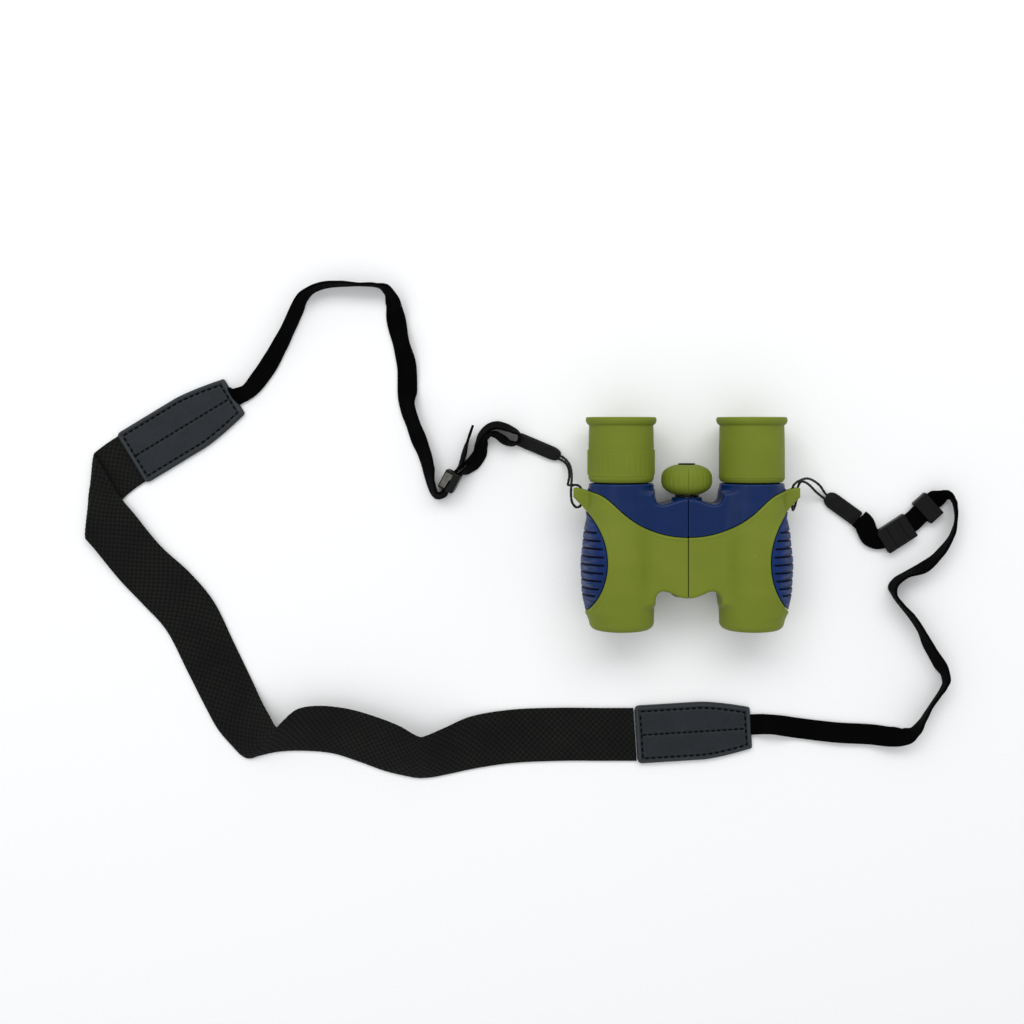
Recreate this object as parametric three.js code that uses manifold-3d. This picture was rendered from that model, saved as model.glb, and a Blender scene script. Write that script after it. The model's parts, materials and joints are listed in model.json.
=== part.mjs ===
// Compact 8 x 21 roof-prism binoculars with a neck strap, lying flat on their underside.
// Millimetres. +X runs from one barrel to the other, +Y towards the eyepieces, +Z up.
// The side names are the wearer's: right_ is the -X barrel and left_ the +X barrel.
import * as THREE from "three";
import { mergeVertices } from "three/addons/utils/BufferGeometryUtils.js";
import Module from "manifold-3d";

const wasm = await Module();
wasm.setup();

// ---------------------------------------------------------------- driving dimensions
const AXIS_X = 30; // half the distance between the two optical axes
const AXIS_Z = 18; // height of the optical axes above the table
const HINGE_Z = 19; // height of the central hinge and focus axis
const GAP = 0.3; // clearance between neighbouring pieces
const SKIN = 1.4; // thickness of the rubber armour
const FRONT_Y = -49.25; // objective end of the barrels
const NECK_TOP_Y = 18.9; // where the eyepiece necks end

// Barrel sections: half-widths towards and away from the hinge, half-heights up and down,
// and the power of the superellipse (2 is an ellipse, more is squarer).
const SECTIONS = [
  { y: -45, inner: 15.0, outer: 14.7, up: 14.9, down: 14.9, power: 2.0 },
  { y: -39, inner: 15.1, outer: 16.7, up: 15.9, down: 16.3, power: 2.1 },
  { y: -30, inner: 15.2, outer: 18.1, up: 17.2, down: 18.1, power: 2.2 },
  { y: -18, inner: 15.3, outer: 18.6, up: 17.8, down: 18.6, power: 2.3 },
  { y: -6, inner: 15.3, outer: 17.5, up: 17.3, down: 18.4, power: 2.2 },
  { y: 5, inner: 15.3, outer: 15.7, up: 16.1, down: 16.6, power: 2.1 },
  { y: 12, inner: 15.3, outer: 15.3, up: 15.3, down: 15.4, power: 2.0 },
  { y: NECK_TOP_Y, inner: 15.0, outer: 15.0, up: 15.0, down: 15.0, power: 2.0 },
];
const END_ROUND = { radial: 2.8, axial: 4.6 }; // rounding of the objective end
const BELLY_Z = 0; // the belly is flat here, and rests on the table

const BRIDGE = { top: 29.3, topAtBarrel: 30.2, bottom: 8.7, bottomAtBarrel: 7.8, reach: 22 };
const BRIDGE_REAR_Y = 12.45; // eyepiece edge of the bridge at the seam
const BRIDGE_FRONT_Y = -33.75; // objective edge of the bridge at the seam
const SEAM_GAP = 0.15; // half the gap between the two bridge covers

const LUG = { tipX: 52.1, halfHeight: 3.2, eyeletX: 48.6, eyeletRadius: 1.25 };
const GRIP_ARC = { x: 71, y: -16.5, radius: 33.5 }; // edge between the armour and the grip

// Bores of each barrel, by radius, and where they begin and end along Y.
const OBJECTIVE_BORE = { radius: 11.7, from: -60, to: -10.1 };
const PRISM_BORE = { radius: 12.5, from: -10.2, to: 25 };
const ARMOUR_MOUTH_RADIUS = 11.95;
const HOUSING_FRONT_Y = -46.2;

// Central hinge: knuckles along Y and their radii.
const HINGE_BARREL = { radius: 7.0, bore: 5.9, from: -26, to: 5.3 };
const REAR_LEFT_KNUCKLE = { from: 5.6, to: 8.7, bore: 4.3 };
const REAR_RIGHT_KNUCKLE = { from: 9.0, to: BRIDGE_REAR_Y, bore: 4.3 };
const FRONT_LEFT_KNUCKLE = { from: -29.2, to: -26.3, bore: 2.8 };
const FRONT_RIGHT_KNUCKLE = { from: -32.35, to: -29.5, bore: 2.8 };
const FRONT_CAP_RADIUS = 6.0;
const FOLD_ANGLE = THREE.MathUtils.degToRad(61); // open wedge on the underside of the bridge

// Focus mechanism.
const SPINDLE_RADIUS = 2.0;
const NUT_RADIUS = 5.5;
const NUT_WAIST_RADIUS = 3.6;
const FOCUS_TRAVEL = 2.3; // each way
const ARM = { thickness: 2.3, halfHeight: 1.5, endX: 18.3 };
const RIGHT_ARM_Y = -14.7; // middle of the right arm, between the nut's flanges
const LEFT_ARM_Y = -17.35; // middle of the left arm

// Neck strap.
const BAND = { width: 25, thickness: 1.6 };
const WEBBING = { width: 10, thickness: 1.5 };
const CORD_RADIUS = 0.6;
const TABLE_GAP = 0.05; // the strap lies this far clear of the table
const NECK_TAB = { rear: 27.4, front: 19.3, thickness: 3.2 };

const BARREL_SIDES = 20;
const LATHE_SIDES = 18;
const SMALL_SIDES = 10;
const GRIP_SIDES = 12;

// ---------------------------------------------------------------- materials
const COLOURS = {
  green: { color: 0x78862d, roughness: 0.55, metalness: 0 },
  navy: { color: 0x182b57, roughness: 0.45, metalness: 0 },
  gripBlue: { color: 0x233c78, roughness: 0.7, metalness: 0 },
  black: { color: 0x141414, roughness: 0.5, metalness: 0 },
  steel: { color: 0x9a9a9c, roughness: 0.3, metalness: 1 },
  brass: { color: 0xb08d4a, roughness: 0.35, metalness: 1 },
  glass: { color: 0xb9c9d6, roughness: 0.05, metalness: 0 },
  webbing: { color: 0x161616, roughness: 0.9, metalness: 0 },
  leather: { color: 0x2e3236, roughness: 0.6, metalness: 0 },
  buckle: { color: 0x5a5850, roughness: 0.4, metalness: 0.6 },
};

const binoculars = new THREE.Group();

function addPart(name, geometry, colour) {
  const mesh = new THREE.Mesh(geometry, new THREE.MeshStandardMaterial(COLOURS[colour]));
  mesh.name = name;
  binoculars.add(mesh);
  return mesh;
}

// ---------------------------------------------------------------- geometry helpers
// A closed, indexed geometry of positions only, with its faces pointing out.
function closed(geometry) {
  geometry.deleteAttribute("normal");
  geometry.deleteAttribute("uv");
  const merged = mergeVertices(geometry, 1e-4);
  const index = Array.from(merged.index.array);
  const kept = [];
  for (let i = 0; i < index.length; i += 3) {
    const [a, b, c] = index.slice(i, i + 3);
    if (a !== b && b !== c && c !== a) kept.push(a, b, c);
  }
  merged.setIndex(kept);
  if (signedVolume(merged) < 0) {
    merged.setIndex(kept.map((_, i) => kept[i - (i % 3) + 2 - (i % 3)]));
  }
  return merged;
}

function signedVolume(geometry) {
  const [a, b, c] = [new THREE.Vector3(), new THREE.Vector3(), new THREE.Vector3()];
  const position = geometry.attributes.position;
  const index = geometry.index.array;
  let sum = 0;
  for (let i = 0; i < index.length; i += 3) {
    a.fromBufferAttribute(position, index[i]);
    b.fromBufferAttribute(position, index[i + 1]);
    c.fromBufferAttribute(position, index[i + 2]);
    sum += a.dot(b.cross(c)) / 6;
  }
  return sum;
}

function solid(geometry) {
  const mesh = closed(geometry);
  return new wasm.Manifold(new wasm.Mesh({
    numProp: 3,
    vertProperties: new Float32Array(mesh.attributes.position.array),
    triVerts: new Uint32Array(mesh.index.array),
  }));
}

function geometryOf(body) {
  const mesh = body.getMesh();
  const geometry = new THREE.BufferGeometry();
  geometry.setAttribute("position", new THREE.BufferAttribute(mesh.vertProperties, 3));
  geometry.setIndex(new THREE.BufferAttribute(mesh.triVerts, 1));
  return geometry;
}

function union(bodies) {
  return bodies.reduce((sum, body) => sum.add(body));
}

function mirrored(geometry) {
  return geometry.clone().scale(-1, 1, 1);
}

// side is +1 for the left (+X) half and -1 for the right (-X) half.
function onSide(geometry, side) {
  return side > 0 ? geometry : mirrored(geometry);
}

// A turned piece about an axis along Y; profile points are [radius, y].
function turned(profile, x, z, sides = LATHE_SIDES) {
  const points = profile.map(([radius, y]) => new THREE.Vector2(radius, y));
  const ring = [...points, points[0].clone()];
  return new THREE.LatheGeometry(ring, sides).translate(x, 0, z);
}

function rodY(radius, from, to, x, z, sides = LATHE_SIDES) {
  return new THREE.CylinderGeometry(radius, radius, to - from, sides).translate(x, (from + to) / 2, z);
}

function box(x0, x1, y0, y1, z0, z1) {
  return new THREE.BoxGeometry(x1 - x0, y1 - y0, z1 - z0)
    .translate((x0 + x1) / 2, (y0 + y1) / 2, (z0 + z1) / 2);
}

// A flat shape drawn in X and Y, standing from z0 to z1.
function plateXY(shape, z0, z1, curveSegments = 4) {
  return new THREE.ExtrudeGeometry(shape, { depth: z1 - z0, bevelEnabled: false, curveSegments })
    .translate(0, 0, z0);
}

// A flat shape drawn in X and Z, running from y0 to y1.
function plateXZ(shape, y0, y1, curveSegments = 4) {
  return new THREE.ExtrudeGeometry(shape, { depth: y1 - y0, bevelEnabled: false, curveSegments })
    .rotateX(Math.PI / 2)
    .translate(0, y1, 0);
}

function outline(points) {
  return new THREE.Shape(points.map(([a, b]) => new THREE.Vector2(a, b)));
}

// ---------------------------------------------------------------- outer form of one half
function sectionAt(y) {
  const after = SECTIONS.findIndex((section) => section.y >= y);
  if (after <= 0) return SECTIONS[after < 0 ? SECTIONS.length - 1 : 0];
  const [a, b] = [SECTIONS[after - 1], SECTIONS[after]];
  const t = THREE.MathUtils.smootherstep(y, a.y, b.y) * 0.3 + ((y - a.y) / (b.y - a.y)) * 0.7;
  const mix = (key) => THREE.MathUtils.lerp(a[key], b[key], t);
  return { inner: mix("inner"), outer: mix("outer"), up: mix("up"), down: mix("down"), power: mix("power") };
}

// Rows along the barrel: the rounded objective end first, then the sections.
function barrelRows(inset) {
  const rows = [0, 30, 60].map((degrees) => {
    const angle = THREE.MathUtils.degToRad(degrees);
    return {
      y: FRONT_Y + inset + END_ROUND.axial * (1 - Math.cos(angle)),
      shrink: END_ROUND.radial * (1 - Math.sin(angle)),
    };
  });
  for (const { y } of SECTIONS) rows.push({ y, shrink: 0 });
  return rows;
}

// The barrel of the +X half as a displaced cylinder; inset shrinks it evenly.
function barrel(inset) {
  const rows = barrelRows(inset);
  const count = rows.length - 1;
  const geometry = new THREE.CylinderGeometry(1, 1, count, BARREL_SIDES, count);
  const position = geometry.attributes.position;
  for (let i = 0; i < position.count; i += 1) {
    const row = rows[Math.round(position.getY(i) + count / 2)];
    const section = sectionAt(row.y);
    const across = position.getX(i);
    const up = position.getZ(i);
    const radius = Math.hypot(across, up);
    const angle = Math.atan2(up, across);
    const halfWidth = (across > 0 ? section.outer : section.inner) - inset - row.shrink;
    const halfHeight = (up > 0 ? section.up : section.down) - inset - row.shrink;
    const stretch = (value) => Math.sign(value) * Math.abs(value) ** (2 / section.power) * radius;
    position.setXYZ(
      i,
      AXIS_X + halfWidth * stretch(Math.cos(angle)),
      row.y,
      AXIS_Z + halfHeight * stretch(Math.sin(angle)),
    );
  }
  return geometry;
}

// Half of the bridge in plan, from beyond the seam to inside the barrel.
function bridgePlan(inset) {
  const shape = new THREE.Shape();
  const [rear, front] = [BRIDGE_REAR_Y - inset, BRIDGE_FRONT_Y + inset];
  shape.moveTo(-2, rear);
  shape.lineTo(0.5, rear);
  shape.bezierCurveTo(5, rear, 8.5, 9.75 - inset, 12, 9.75 - inset);
  shape.quadraticCurveTo(15.4 + inset, 9.75 - inset, 15.6 + inset, 15);
  shape.lineTo(BRIDGE.reach, 15);
  shape.lineTo(BRIDGE.reach, -36);
  shape.lineTo(15.2 + inset, -36);
  shape.quadraticCurveTo(14.9 + inset, -30.8 + inset, 11.6, -30.65 + inset);
  shape.bezierCurveTo(8, -30.7 + inset, 6, front + 0.4, 0.8, front);
  shape.lineTo(-2, front);
  return shape;
}

function bridgeSection(inset) {
  return outline([
    [-2, BRIDGE.bottom + inset],
    [0, BRIDGE.bottom + inset],
    [BRIDGE.reach, BRIDGE.bottomAtBarrel + inset],
    [BRIDGE.reach, BRIDGE.topAtBarrel - inset],
    [0, BRIDGE.top - inset],
    [-2, BRIDGE.top - inset],
  ]);
}

// Strap lug in plan: a horn that sweeps out of the barrel's side.
function lugPlan(inset) {
  const shape = new THREE.Shape();
  shape.moveTo(36, 11);
  shape.lineTo(41.5, 14.6 - inset);
  shape.quadraticCurveTo(46, 16.3 - inset, LUG.tipX - 0.6 - inset, 16.5 - inset);
  shape.lineTo(LUG.tipX - inset, 12.2 + inset);
  shape.quadraticCurveTo(47.6, 9.4 + inset, 45.4, 4.2 + inset);
  shape.lineTo(36, 2);
  return shape;
}

function halfForm(inset) {
  const bridge = solid(plateXY(bridgePlan(inset), 0, 40)).intersect(solid(plateXZ(bridgeSection(inset), -50, 30)));
  const lugHeight = LUG.halfHeight - inset;
  const lug = solid(plateXY(lugPlan(inset), AXIS_Z - lugHeight, AXIS_Z + lugHeight));
  const belly = solid(box(-10, 60, -60, 30, BELLY_Z + inset, 60));
  return union([solid(barrel(inset)), bridge, lug]).intersect(belly);
}

// The armour covers everything in front of this line, drawn for the +X half.
function armourPlan(back) {
  const shape = new THREE.Shape();
  shape.moveTo(-3, -60);
  shape.lineTo(-3, -6.5 - back);
  shape.lineTo(0, -6.5 - back);
  shape.bezierCurveTo(12, -6.3 - back, 21, -2 - back, 29.5, 5.7 - back);
  shape.bezierCurveTo(35, 10.6 - back, 38, 14.4 - back, 45, 15.2 - back);
  shape.lineTo(51, 18);
  shape.lineTo(60, 18);
  shape.lineTo(60, -60);
  return shape;
}

function gripPlan(grow) {
  const shape = new THREE.Shape();
  shape.absarc(GRIP_ARC.x, GRIP_ARC.y, GRIP_ARC.radius + grow, 0, Math.PI * 2);
  return shape;
}

// The open wedge on the underside that lets the halves fold towards each other.
function foldWedge() {
  const depth = 16;
  const wedge = outline([[-3, HINGE_Z], [0, HINGE_Z], [depth * Math.tan(FOLD_ANGLE / 2), HINGE_Z - depth], [-3, HINGE_Z - depth]]);
  return solid(plateXZ(wedge, -60, 40));
}

// Everything of one half that belongs to the other side of the seam.
function beyondSeam() {
  return solid(box(-5, SEAM_GAP, -60, 40, -1, 60));
}

const HINGE_CUT_RADIUS = HINGE_BARREL.radius + GAP;

function hingeRod(radius, { from, to }, grow = 0) {
  return solid(rodY(radius, from - grow, to + grow, 0, HINGE_Z, LATHE_SIDES));
}

// ---------------------------------------------------------------- shells of one half
function housing(side) {
  const plain = halfForm(SKIN + GAP).add(halfForm(0).subtract(solid(plateXY(armourPlan(-GAP), -5, 60))));
  let body = plain
    .intersect(solid(box(-5, 60, HOUSING_FRONT_Y, 30, -5, 60)))
    .subtract(beyondSeam())
    .subtract(foldWedge())
    .subtract(hingeRod(HINGE_CUT_RADIUS, { from: -60, to: 40 }));
  for (const { radius, from, to } of [OBJECTIVE_BORE, PRISM_BORE]) {
    body = body.subtract(solid(rodY(radius, from, to, AXIS_X, AXIS_Z, BARREL_SIDES)));
  }
  body = body.subtract(solid(rodY(LUG.eyeletRadius, 0, 30, LUG.eyeletX, AXIS_Z, 12)));
  const own = side > 0
    ? [REAR_LEFT_KNUCKLE, FRONT_LEFT_KNUCKLE]
    : [REAR_RIGHT_KNUCKLE, FRONT_RIGHT_KNUCKLE, HINGE_BARREL];
  for (const knuckle of own) {
    const web = solid(box(0.5, 8.5, knuckle.from, knuckle.to, HINGE_Z - 3.6, HINGE_Z + 3.6)).intersect(plain);
    body = body.add(hingeRod(HINGE_BARREL.radius, knuckle)).add(web);
  }
  for (const knuckle of own) {
    body = body.subtract(hingeRod(knuckle.bore, knuckle, 0.01));
  }
  return body.subtract(armSlot(side));
}

// Slot that lets a focus arm run from the nut, through the bridge, into the barrel.
function armSlot(side) {
  const middle = side > 0 ? LEFT_ARM_Y : RIGHT_ARM_Y;
  const reach = ARM.thickness / 2 + FOCUS_TRAVEL + 0.5;
  const halfHeight = ARM.halfHeight + 0.4;
  return solid(box(1, 21, middle - reach, middle + reach, HINGE_Z - halfHeight, HINGE_Z + halfHeight));
}

// Window in the hinge barrel through which the left arm swings when the halves fold.
function armWindow() {
  const reach = ARM.thickness / 2 + FOCUS_TRAVEL + 0.5;
  const [from, to] = [THREE.MathUtils.degToRad(-82), THREE.MathUtils.degToRad(22)];
  const sector = new THREE.Shape();
  sector.moveTo(0, HINGE_Z);
  for (let i = 0; i <= 6; i += 1) {
    const angle = THREE.MathUtils.lerp(from, to, i / 6);
    sector.lineTo(9 * Math.cos(angle), HINGE_Z + 9 * Math.sin(angle));
  }
  return solid(plateXZ(sector, LEFT_ARM_Y - reach, LEFT_ARM_Y + reach));
}

function armour() {
  const cavity = halfForm(SKIN).intersect(solid(box(-5, 60, HOUSING_FRONT_Y - GAP, 30, -5, 60)));
  return halfForm(0)
    .subtract(cavity)
    .intersect(solid(plateXY(armourPlan(0), -5, 60)))
    .subtract(solid(plateXY(gripPlan(GAP / 2), -5, 60, GRIP_SIDES)))
    .subtract(beyondSeam())
    .subtract(foldWedge())
    .subtract(hingeRod(HINGE_CUT_RADIUS, { from: -60, to: 40 }))
    .subtract(solid(rodY(ARMOUR_MOUTH_RADIUS, -60, -40, AXIS_X, AXIS_Z, BARREL_SIDES)))
    .subtract(solid(rodY(LUG.eyeletRadius, 0, 30, LUG.eyeletX, AXIS_Z, 12)));
}

function grip() {
  return halfForm(0).subtract(halfForm(SKIN)).intersect(solid(plateXY(gripPlan(-GAP / 2), -5, 60, GRIP_SIDES)));
}

// ---------------------------------------------------------------- optics of one barrel
const OCULAR = { from: 9.9, flangeTo: 18.2, to: 40.2, flangeRadius: 12.2, radius: 11.6 };
const EYECUP = { from: 19.35, to: 49.25, bore: 11.9, floorY: 41.3 };
const DIOPTER_BAND = { from: 22.5, to: 34.5, radius: 15.6, bore: 13.9 };
const OBJECTIVE_CELL = { from: -38, to: -13.2, radius: 11.4, bore: 10.4 };
const OBJECTIVE_RING = { from: -48.2, to: -46.0, radius: 11.4, bore: 10.2 };
const PRISM_FRAME = { from: -9.8, to: 8.4, radius: 12.2, halfPocket: 5.8 };
const PRISM_HALF_WIDTH = 5.4;

// Side outlines of the two prisms as [y, z] about the optical axis; their slanted faces run
// parallel with an air gap between them.
const HALF_PENTA = [[-9.4, -5.5], [-9.4, 7], [-7.2, 7], [3, -3.2], [3, -9.3], [0, -9.3]];
const ROOF = [[6.9, -6.5], [6.9, 8.5], [-3.7, 4.1]];

function objectiveCell() {
  const { from, to, radius, bore } = OBJECTIVE_CELL;
  return turned([[bore - 0.8, from], [radius, from], [radius, to], [bore, to], [bore, from + 0.8],
    [bore - 0.8, from + 0.8]], AXIS_X, AXIS_Z);
}

// A biconvex lens: flat edge from y0 to y1, faces bulging by the two sags.
function lens(radius, y0, y1, frontSag, rearSag) {
  const profile = [[0, y0 - frontSag], [radius * 0.6, y0 - frontSag * 0.64], [radius, y0], [radius, y1],
    [radius * 0.6, y1 + rearSag * 0.64], [0, y1 + rearSag]];
  const points = profile.map(([r, y]) => new THREE.Vector2(r, y));
  return new THREE.LatheGeometry(points, LATHE_SIDES).translate(AXIS_X, 0, AXIS_Z);
}

function objectiveRing() {
  const { from, to, radius, bore } = OBJECTIVE_RING;
  return turned([[bore + 0.6, from], [radius, from], [radius, to], [bore, to], [bore, from + 0.6]], AXIS_X, AXIS_Z);
}

function ocularTube() {
  const { from, flangeTo, to, flangeRadius, radius } = OCULAR;
  return turned([[8.0, from], [flangeRadius, from], [flangeRadius, flangeTo], [radius, flangeTo], [radius, to],
    [6.9, to], [6.9, to - 0.8], [7.8, to - 0.8], [7.8, 24], [8.8, 23], [8.8, from + 1.2], [8.0, from + 1.2]],
  AXIS_X, AXIS_Z);
}

function eyecup(banded) {
  const { from, to, bore, floorY } = EYECUP;
  const groove = banded
    ? [[15.0, DIOPTER_BAND.from - GAP], [13.6, DIOPTER_BAND.from - GAP], [13.6, DIOPTER_BAND.to + GAP],
      [14.9, DIOPTER_BAND.to + GAP]]
    : [];
  return turned([[bore, from], [14.3, from], [15.1, from + 1], ...groove, [14.8, to - 4.6], [15.4, to - 3.2],
    [16.35, to - 1.7], [16.1, to - 0.3], [15.2, to], [14.2, to - 0.6], [13.0, to - 3.5], [12.4, floorY + 1.4],
    [7.6, floorY + 1], [7.6, floorY], [bore, floorY]], AXIS_X, AXIS_Z);
}

function diopterRing() {
  const { from, to, radius, bore } = DIOPTER_BAND;
  return turned([[bore, from], [radius - 0.4, from], [radius, from + 0.6], [radius, to - 0.6], [radius - 0.4, to],
    [bore, to]], AXIS_X, AXIS_Z);
}

function prism(points) {
  const shape = outline(points.map(([y, z]) => [-z, y]));
  return new THREE.ExtrudeGeometry(shape, { depth: 2 * PRISM_HALF_WIDTH, bevelEnabled: false })
    .translate(0, 0, -PRISM_HALF_WIDTH)
    .rotateY(Math.PI / 2)
    .translate(AXIS_X, 0, AXIS_Z);
}

function prismFrame() {
  const { from, to, radius, halfPocket } = PRISM_FRAME;
  const pocket = box(AXIS_X - halfPocket, AXIS_X + halfPocket, from - 1, to + 1, AXIS_Z - 9.7, AXIS_Z + 8.9);
  return geometryOf(solid(rodY(radius, from, to, AXIS_X, AXIS_Z)).subtract(solid(pocket)));
}

// ---------------------------------------------------------------- hinge and focus train
const WHEEL = { from: 13.6, to: 27.3, radius: 11.6 };

function focusWheel() {
  const { from, to, radius } = WHEEL;
  const middle = 20.2;
  return turned([[2.3, from], [6, from], [9.2, from + 1.3], [11.1, from + 3.6], [radius, middle], [11.1, to - 3.9],
    [9.2, to - 1.5], [6, to], [2.3, to]], 0, HINGE_Z);
}

function focusNut() {
  const bore = SPINDLE_RADIUS + GAP;
  const [rear, front] = [-13.25, -18.8];
  return turned([[bore, rear + 1.3], [bore, front - 1.3], [NUT_RADIUS, front - 1.3], [NUT_RADIUS, front],
    [NUT_WAIST_RADIUS, front], [NUT_WAIST_RADIUS, rear], [NUT_RADIUS, rear], [NUT_RADIUS, rear + 1.3]], 0, HINGE_Z);
}

// A ring round the nut's waist with a flat bar out to the objective cell.
function focusArm(middle) {
  const [from, to] = [middle - ARM.thickness / 2, middle + ARM.thickness / 2];
  const bar = solid(box(4.5, ARM.endX, from, to, HINGE_Z - ARM.halfHeight, HINGE_Z + ARM.halfHeight));
  const hole = solid(rodY(NUT_WAIST_RADIUS + GAP, from - 1, to + 1, 0, HINGE_Z));
  return geometryOf(solid(rodY(NUT_RADIUS, from, to, 0, HINGE_Z)).add(bar).subtract(hole));
}

function ringY(radius, bore, from, to) {
  return turned([[bore, from], [radius, from], [radius, to], [bore, to]], 0, HINGE_Z);
}

// ---------------------------------------------------------------- strap pieces
// Routes by hand as [x, y, z] of the middle of the strap, and its tilt in degrees: 0 lies
// flat and 90 stands on edge.
const LEFT_LUG_CORD = [
  [66.8, 13.3, 1.6], [62, 17.8, 3.5], [57.5, 20.4, 9], [52.5, 19.9, 15.5], [48.9, 17.6, 18], [48.6, 13, 18],
  [48.6, 8.2, 18], [49.0, 6.0, 16.2], [50.2, 7.4, 13.6], [51.2, 12, 13.2], [53, 17, 13], [57.2, 18.4, 7],
  [61, 15.4, 3.0], [65.3, 11.2, 1.6]];
const RIGHT_LUG_CORD = [
  [-57.0, 32.0, 1.6], [-54.6, 26.0, 3.5], [-52.6, 20.0, 13], [-49.2, 18.0, 18], [-48.6, 13, 18],
  [-48.6, 8.2, 18], [-50.4, 6.4, 17.6], [-53.4, 9.5, 16.5], [-54.4, 15, 12.5], [-56.0, 23, 3.5], [-58.0, 29.2, 1.6]];
const RIGHT_LOOP = [[-80.4, 39.9, 4.6, 90], [-85, 43.4, 4.6, 90], [-90.5, 43.2, 4.6, 90], [-96.5, 37, 4.6, 90],
  [-101, 30, 4.6, 90], [-106.4, 25.2, 4.6, 90]];
const RIGHT_TAIL = [[-105.0, 29.2, 4.6, 90], [-102.8, 35, 4.6, 90], [-99.2, 45.4, 4.6, 90]];
const RIGHT_WEBBING = [[-112.4, 14.2, 5.1, 90], [-114.6, 11.8, 5.1, 90], [-117.6, 12.4, 4.6, 65],
  [-119.6, 18, 1.9, 12], [-122, 28, 0.8, 0], [-126.9, 43.4, 0.8, 0], [-130.6, 58.5, 0.8, 0],
  [-131.4, 73.6, 0.8, 0], [-135.6, 94, 1.2, 5], [-139.5, 106, 3.6, 40], [-148, 111.6, 5.3, 80],
  [-163.4, 112.2, 5.0, 65], [-173, 109.8, 3.0, 30], [-181, 101, 0.9, 0], [-191.6, 86, 0.8, 0],
  [-201.5, 67.8, 0.8, 0], [-211.0, 60.1, 0.8, 0]];
const NECK_BAND = [[-261.3, 29.3, 0.9, 0], [-268, 25.2, 0.9, 0], [-277, 17, 0.9, 0], [-279, 6, 0.9, 0],
  [-273, -2.5, 0.9, 0], [-258, -18, 0.9, 0], [-242, -34.5, 0.9, 0], [-231, -51, 0.9, 0], [-215, -81, 0.9, 0],
  [-208, -93, 0.9, 0], [-199, -101, 0.9, 0], [-187, -101.5, 0.9, 0], [-170.7, -98.9, 0.9, 0],
  [-147.2, -103.6, 0.9, 0], [-124.4, -112, 0.9, 0], [-100, -105.5, 0.9, 0], [-87, -103.4, 0.9, 0],
  [-60, -102.6, 0.9, 0], [-42, -102.0, 0.9, 0], [-23.2, -100.85, 0.9, 0]];
const LEFT_WEBBING = [[32.9, -97.4, 0.8, 0], [54.5, -97.6, 0.8, 0], [75.3, -100.2, 0.8, 0], [96, -101.6, 0.8, 0],
  [106.5, -99.5, 1.8, 10], [115, -89.6, 5.0, 60], [121.6, -80.5, 4.0, 30], [123.4, -72, 2.8, 15],
  [119.6, -62.5, 1.2, 0], [112.9, -50.3, 1.2, 10], [106.4, -41, 3.4, 40], [101.4, -34, 5.0, 75],
  [102.2, -28.4, 5.0, 70], [110, -24.0, 2.6, 20], [117.6, -20, 1.4, 5], [124, -11.4, 3.0, 30],
  [128.4, -3, 5.2, 75], [128.6, 5, 5.2, 80], [125.4, 11.4, 3.4, 30], [121.8, 12.2, 2.2, 5], [118.3, 9.4, 2.1, 0]];
const LEFT_LOOP = [[111.4, 3.1, 2.1, 0], [107.2, -0.85, 1.9, 0], [100.5, -5.2, 1.9, 0], [93.8, -9.55, 2.0, 0],
  [91.2, -10.1, 2.4, 6], [88.2, -8.2, 4.0, 40], [86.8, -4.6, 3.4, 30], [85.4, -2.0, 1.6, 0]];

function curveThrough(route) {
  return new THREE.CatmullRomCurve3(route.map(([x, y, z]) => new THREE.Vector3(x, y, z)), false, "centripetal");
}

// A flat strap along a route: a box whose cross-sections follow the curve and the tilt.
function strap(route, width, thickness, steps) {
  const curve = curveThrough(route);
  const geometry = new THREE.BoxGeometry(1, 1, 1, 1, 1, steps);
  const position = geometry.attributes.position;
  for (let i = 0; i < position.count; i += 1) {
    const along = position.getZ(i) + 0.5;
    const heading = curve.getTangentAt(along);
    const place = curve.getUtoTmapping(along) * (route.length - 1);
    const [before, after] = [route[Math.floor(place)], route[Math.ceil(place)]];
    const tilt = THREE.MathUtils.degToRad(THREE.MathUtils.lerp(before[3], after[3], place % 1));
    const level = new THREE.Vector3(heading.y, -heading.x, 0).normalize();
    const lift = new THREE.Vector3().crossVectors(level, heading);
    const across = level.clone().multiplyScalar(Math.cos(tilt)).addScaledVector(lift, Math.sin(tilt));
    const face = lift.multiplyScalar(Math.cos(tilt)).addScaledVector(level, -Math.sin(tilt));
    const point = curve.getPointAt(along);
    point.z = Math.max(point.z, (width / 2) * Math.sin(tilt) + thickness / 2 + TABLE_GAP);
    point.addScaledVector(across, position.getX(i) * width).addScaledVector(face, position.getY(i) * thickness);
    position.setXYZ(i, point.x, point.y, point.z);
  }
  return geometry;
}

function cord(route, steps) {
  const section = outline(Array.from({ length: 8 }, (_, i) => {
    const angle = (i / 8) * Math.PI * 2;
    return [CORD_RADIUS * Math.cos(angle), CORD_RADIUS * Math.sin(angle)];
  }));
  return new THREE.ExtrudeGeometry(section, { steps, bevelEnabled: false, extrudePath: curveThrough(route) });
}

// A flat piece drawn along its own X from 0, then turned and moved to start at a point.
function laid(shape, z0, z1, [x, y], degrees) {
  return plateXY(shape, z0, z1, 4).rotateZ(THREE.MathUtils.degToRad(degrees)).translate(x, y, 0);
}

function endTabShape(length, width) {
  const shape = new THREE.Shape();
  shape.moveTo(0, -width * 0.28);
  shape.quadraticCurveTo(2.5, -width / 2, 5, -width / 2);
  shape.lineTo(length, -width / 2);
  shape.lineTo(length, width / 2);
  shape.lineTo(5, width / 2);
  shape.quadraticCurveTo(2.5, width / 2, 0, width * 0.28);
  return shape;
}

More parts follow.
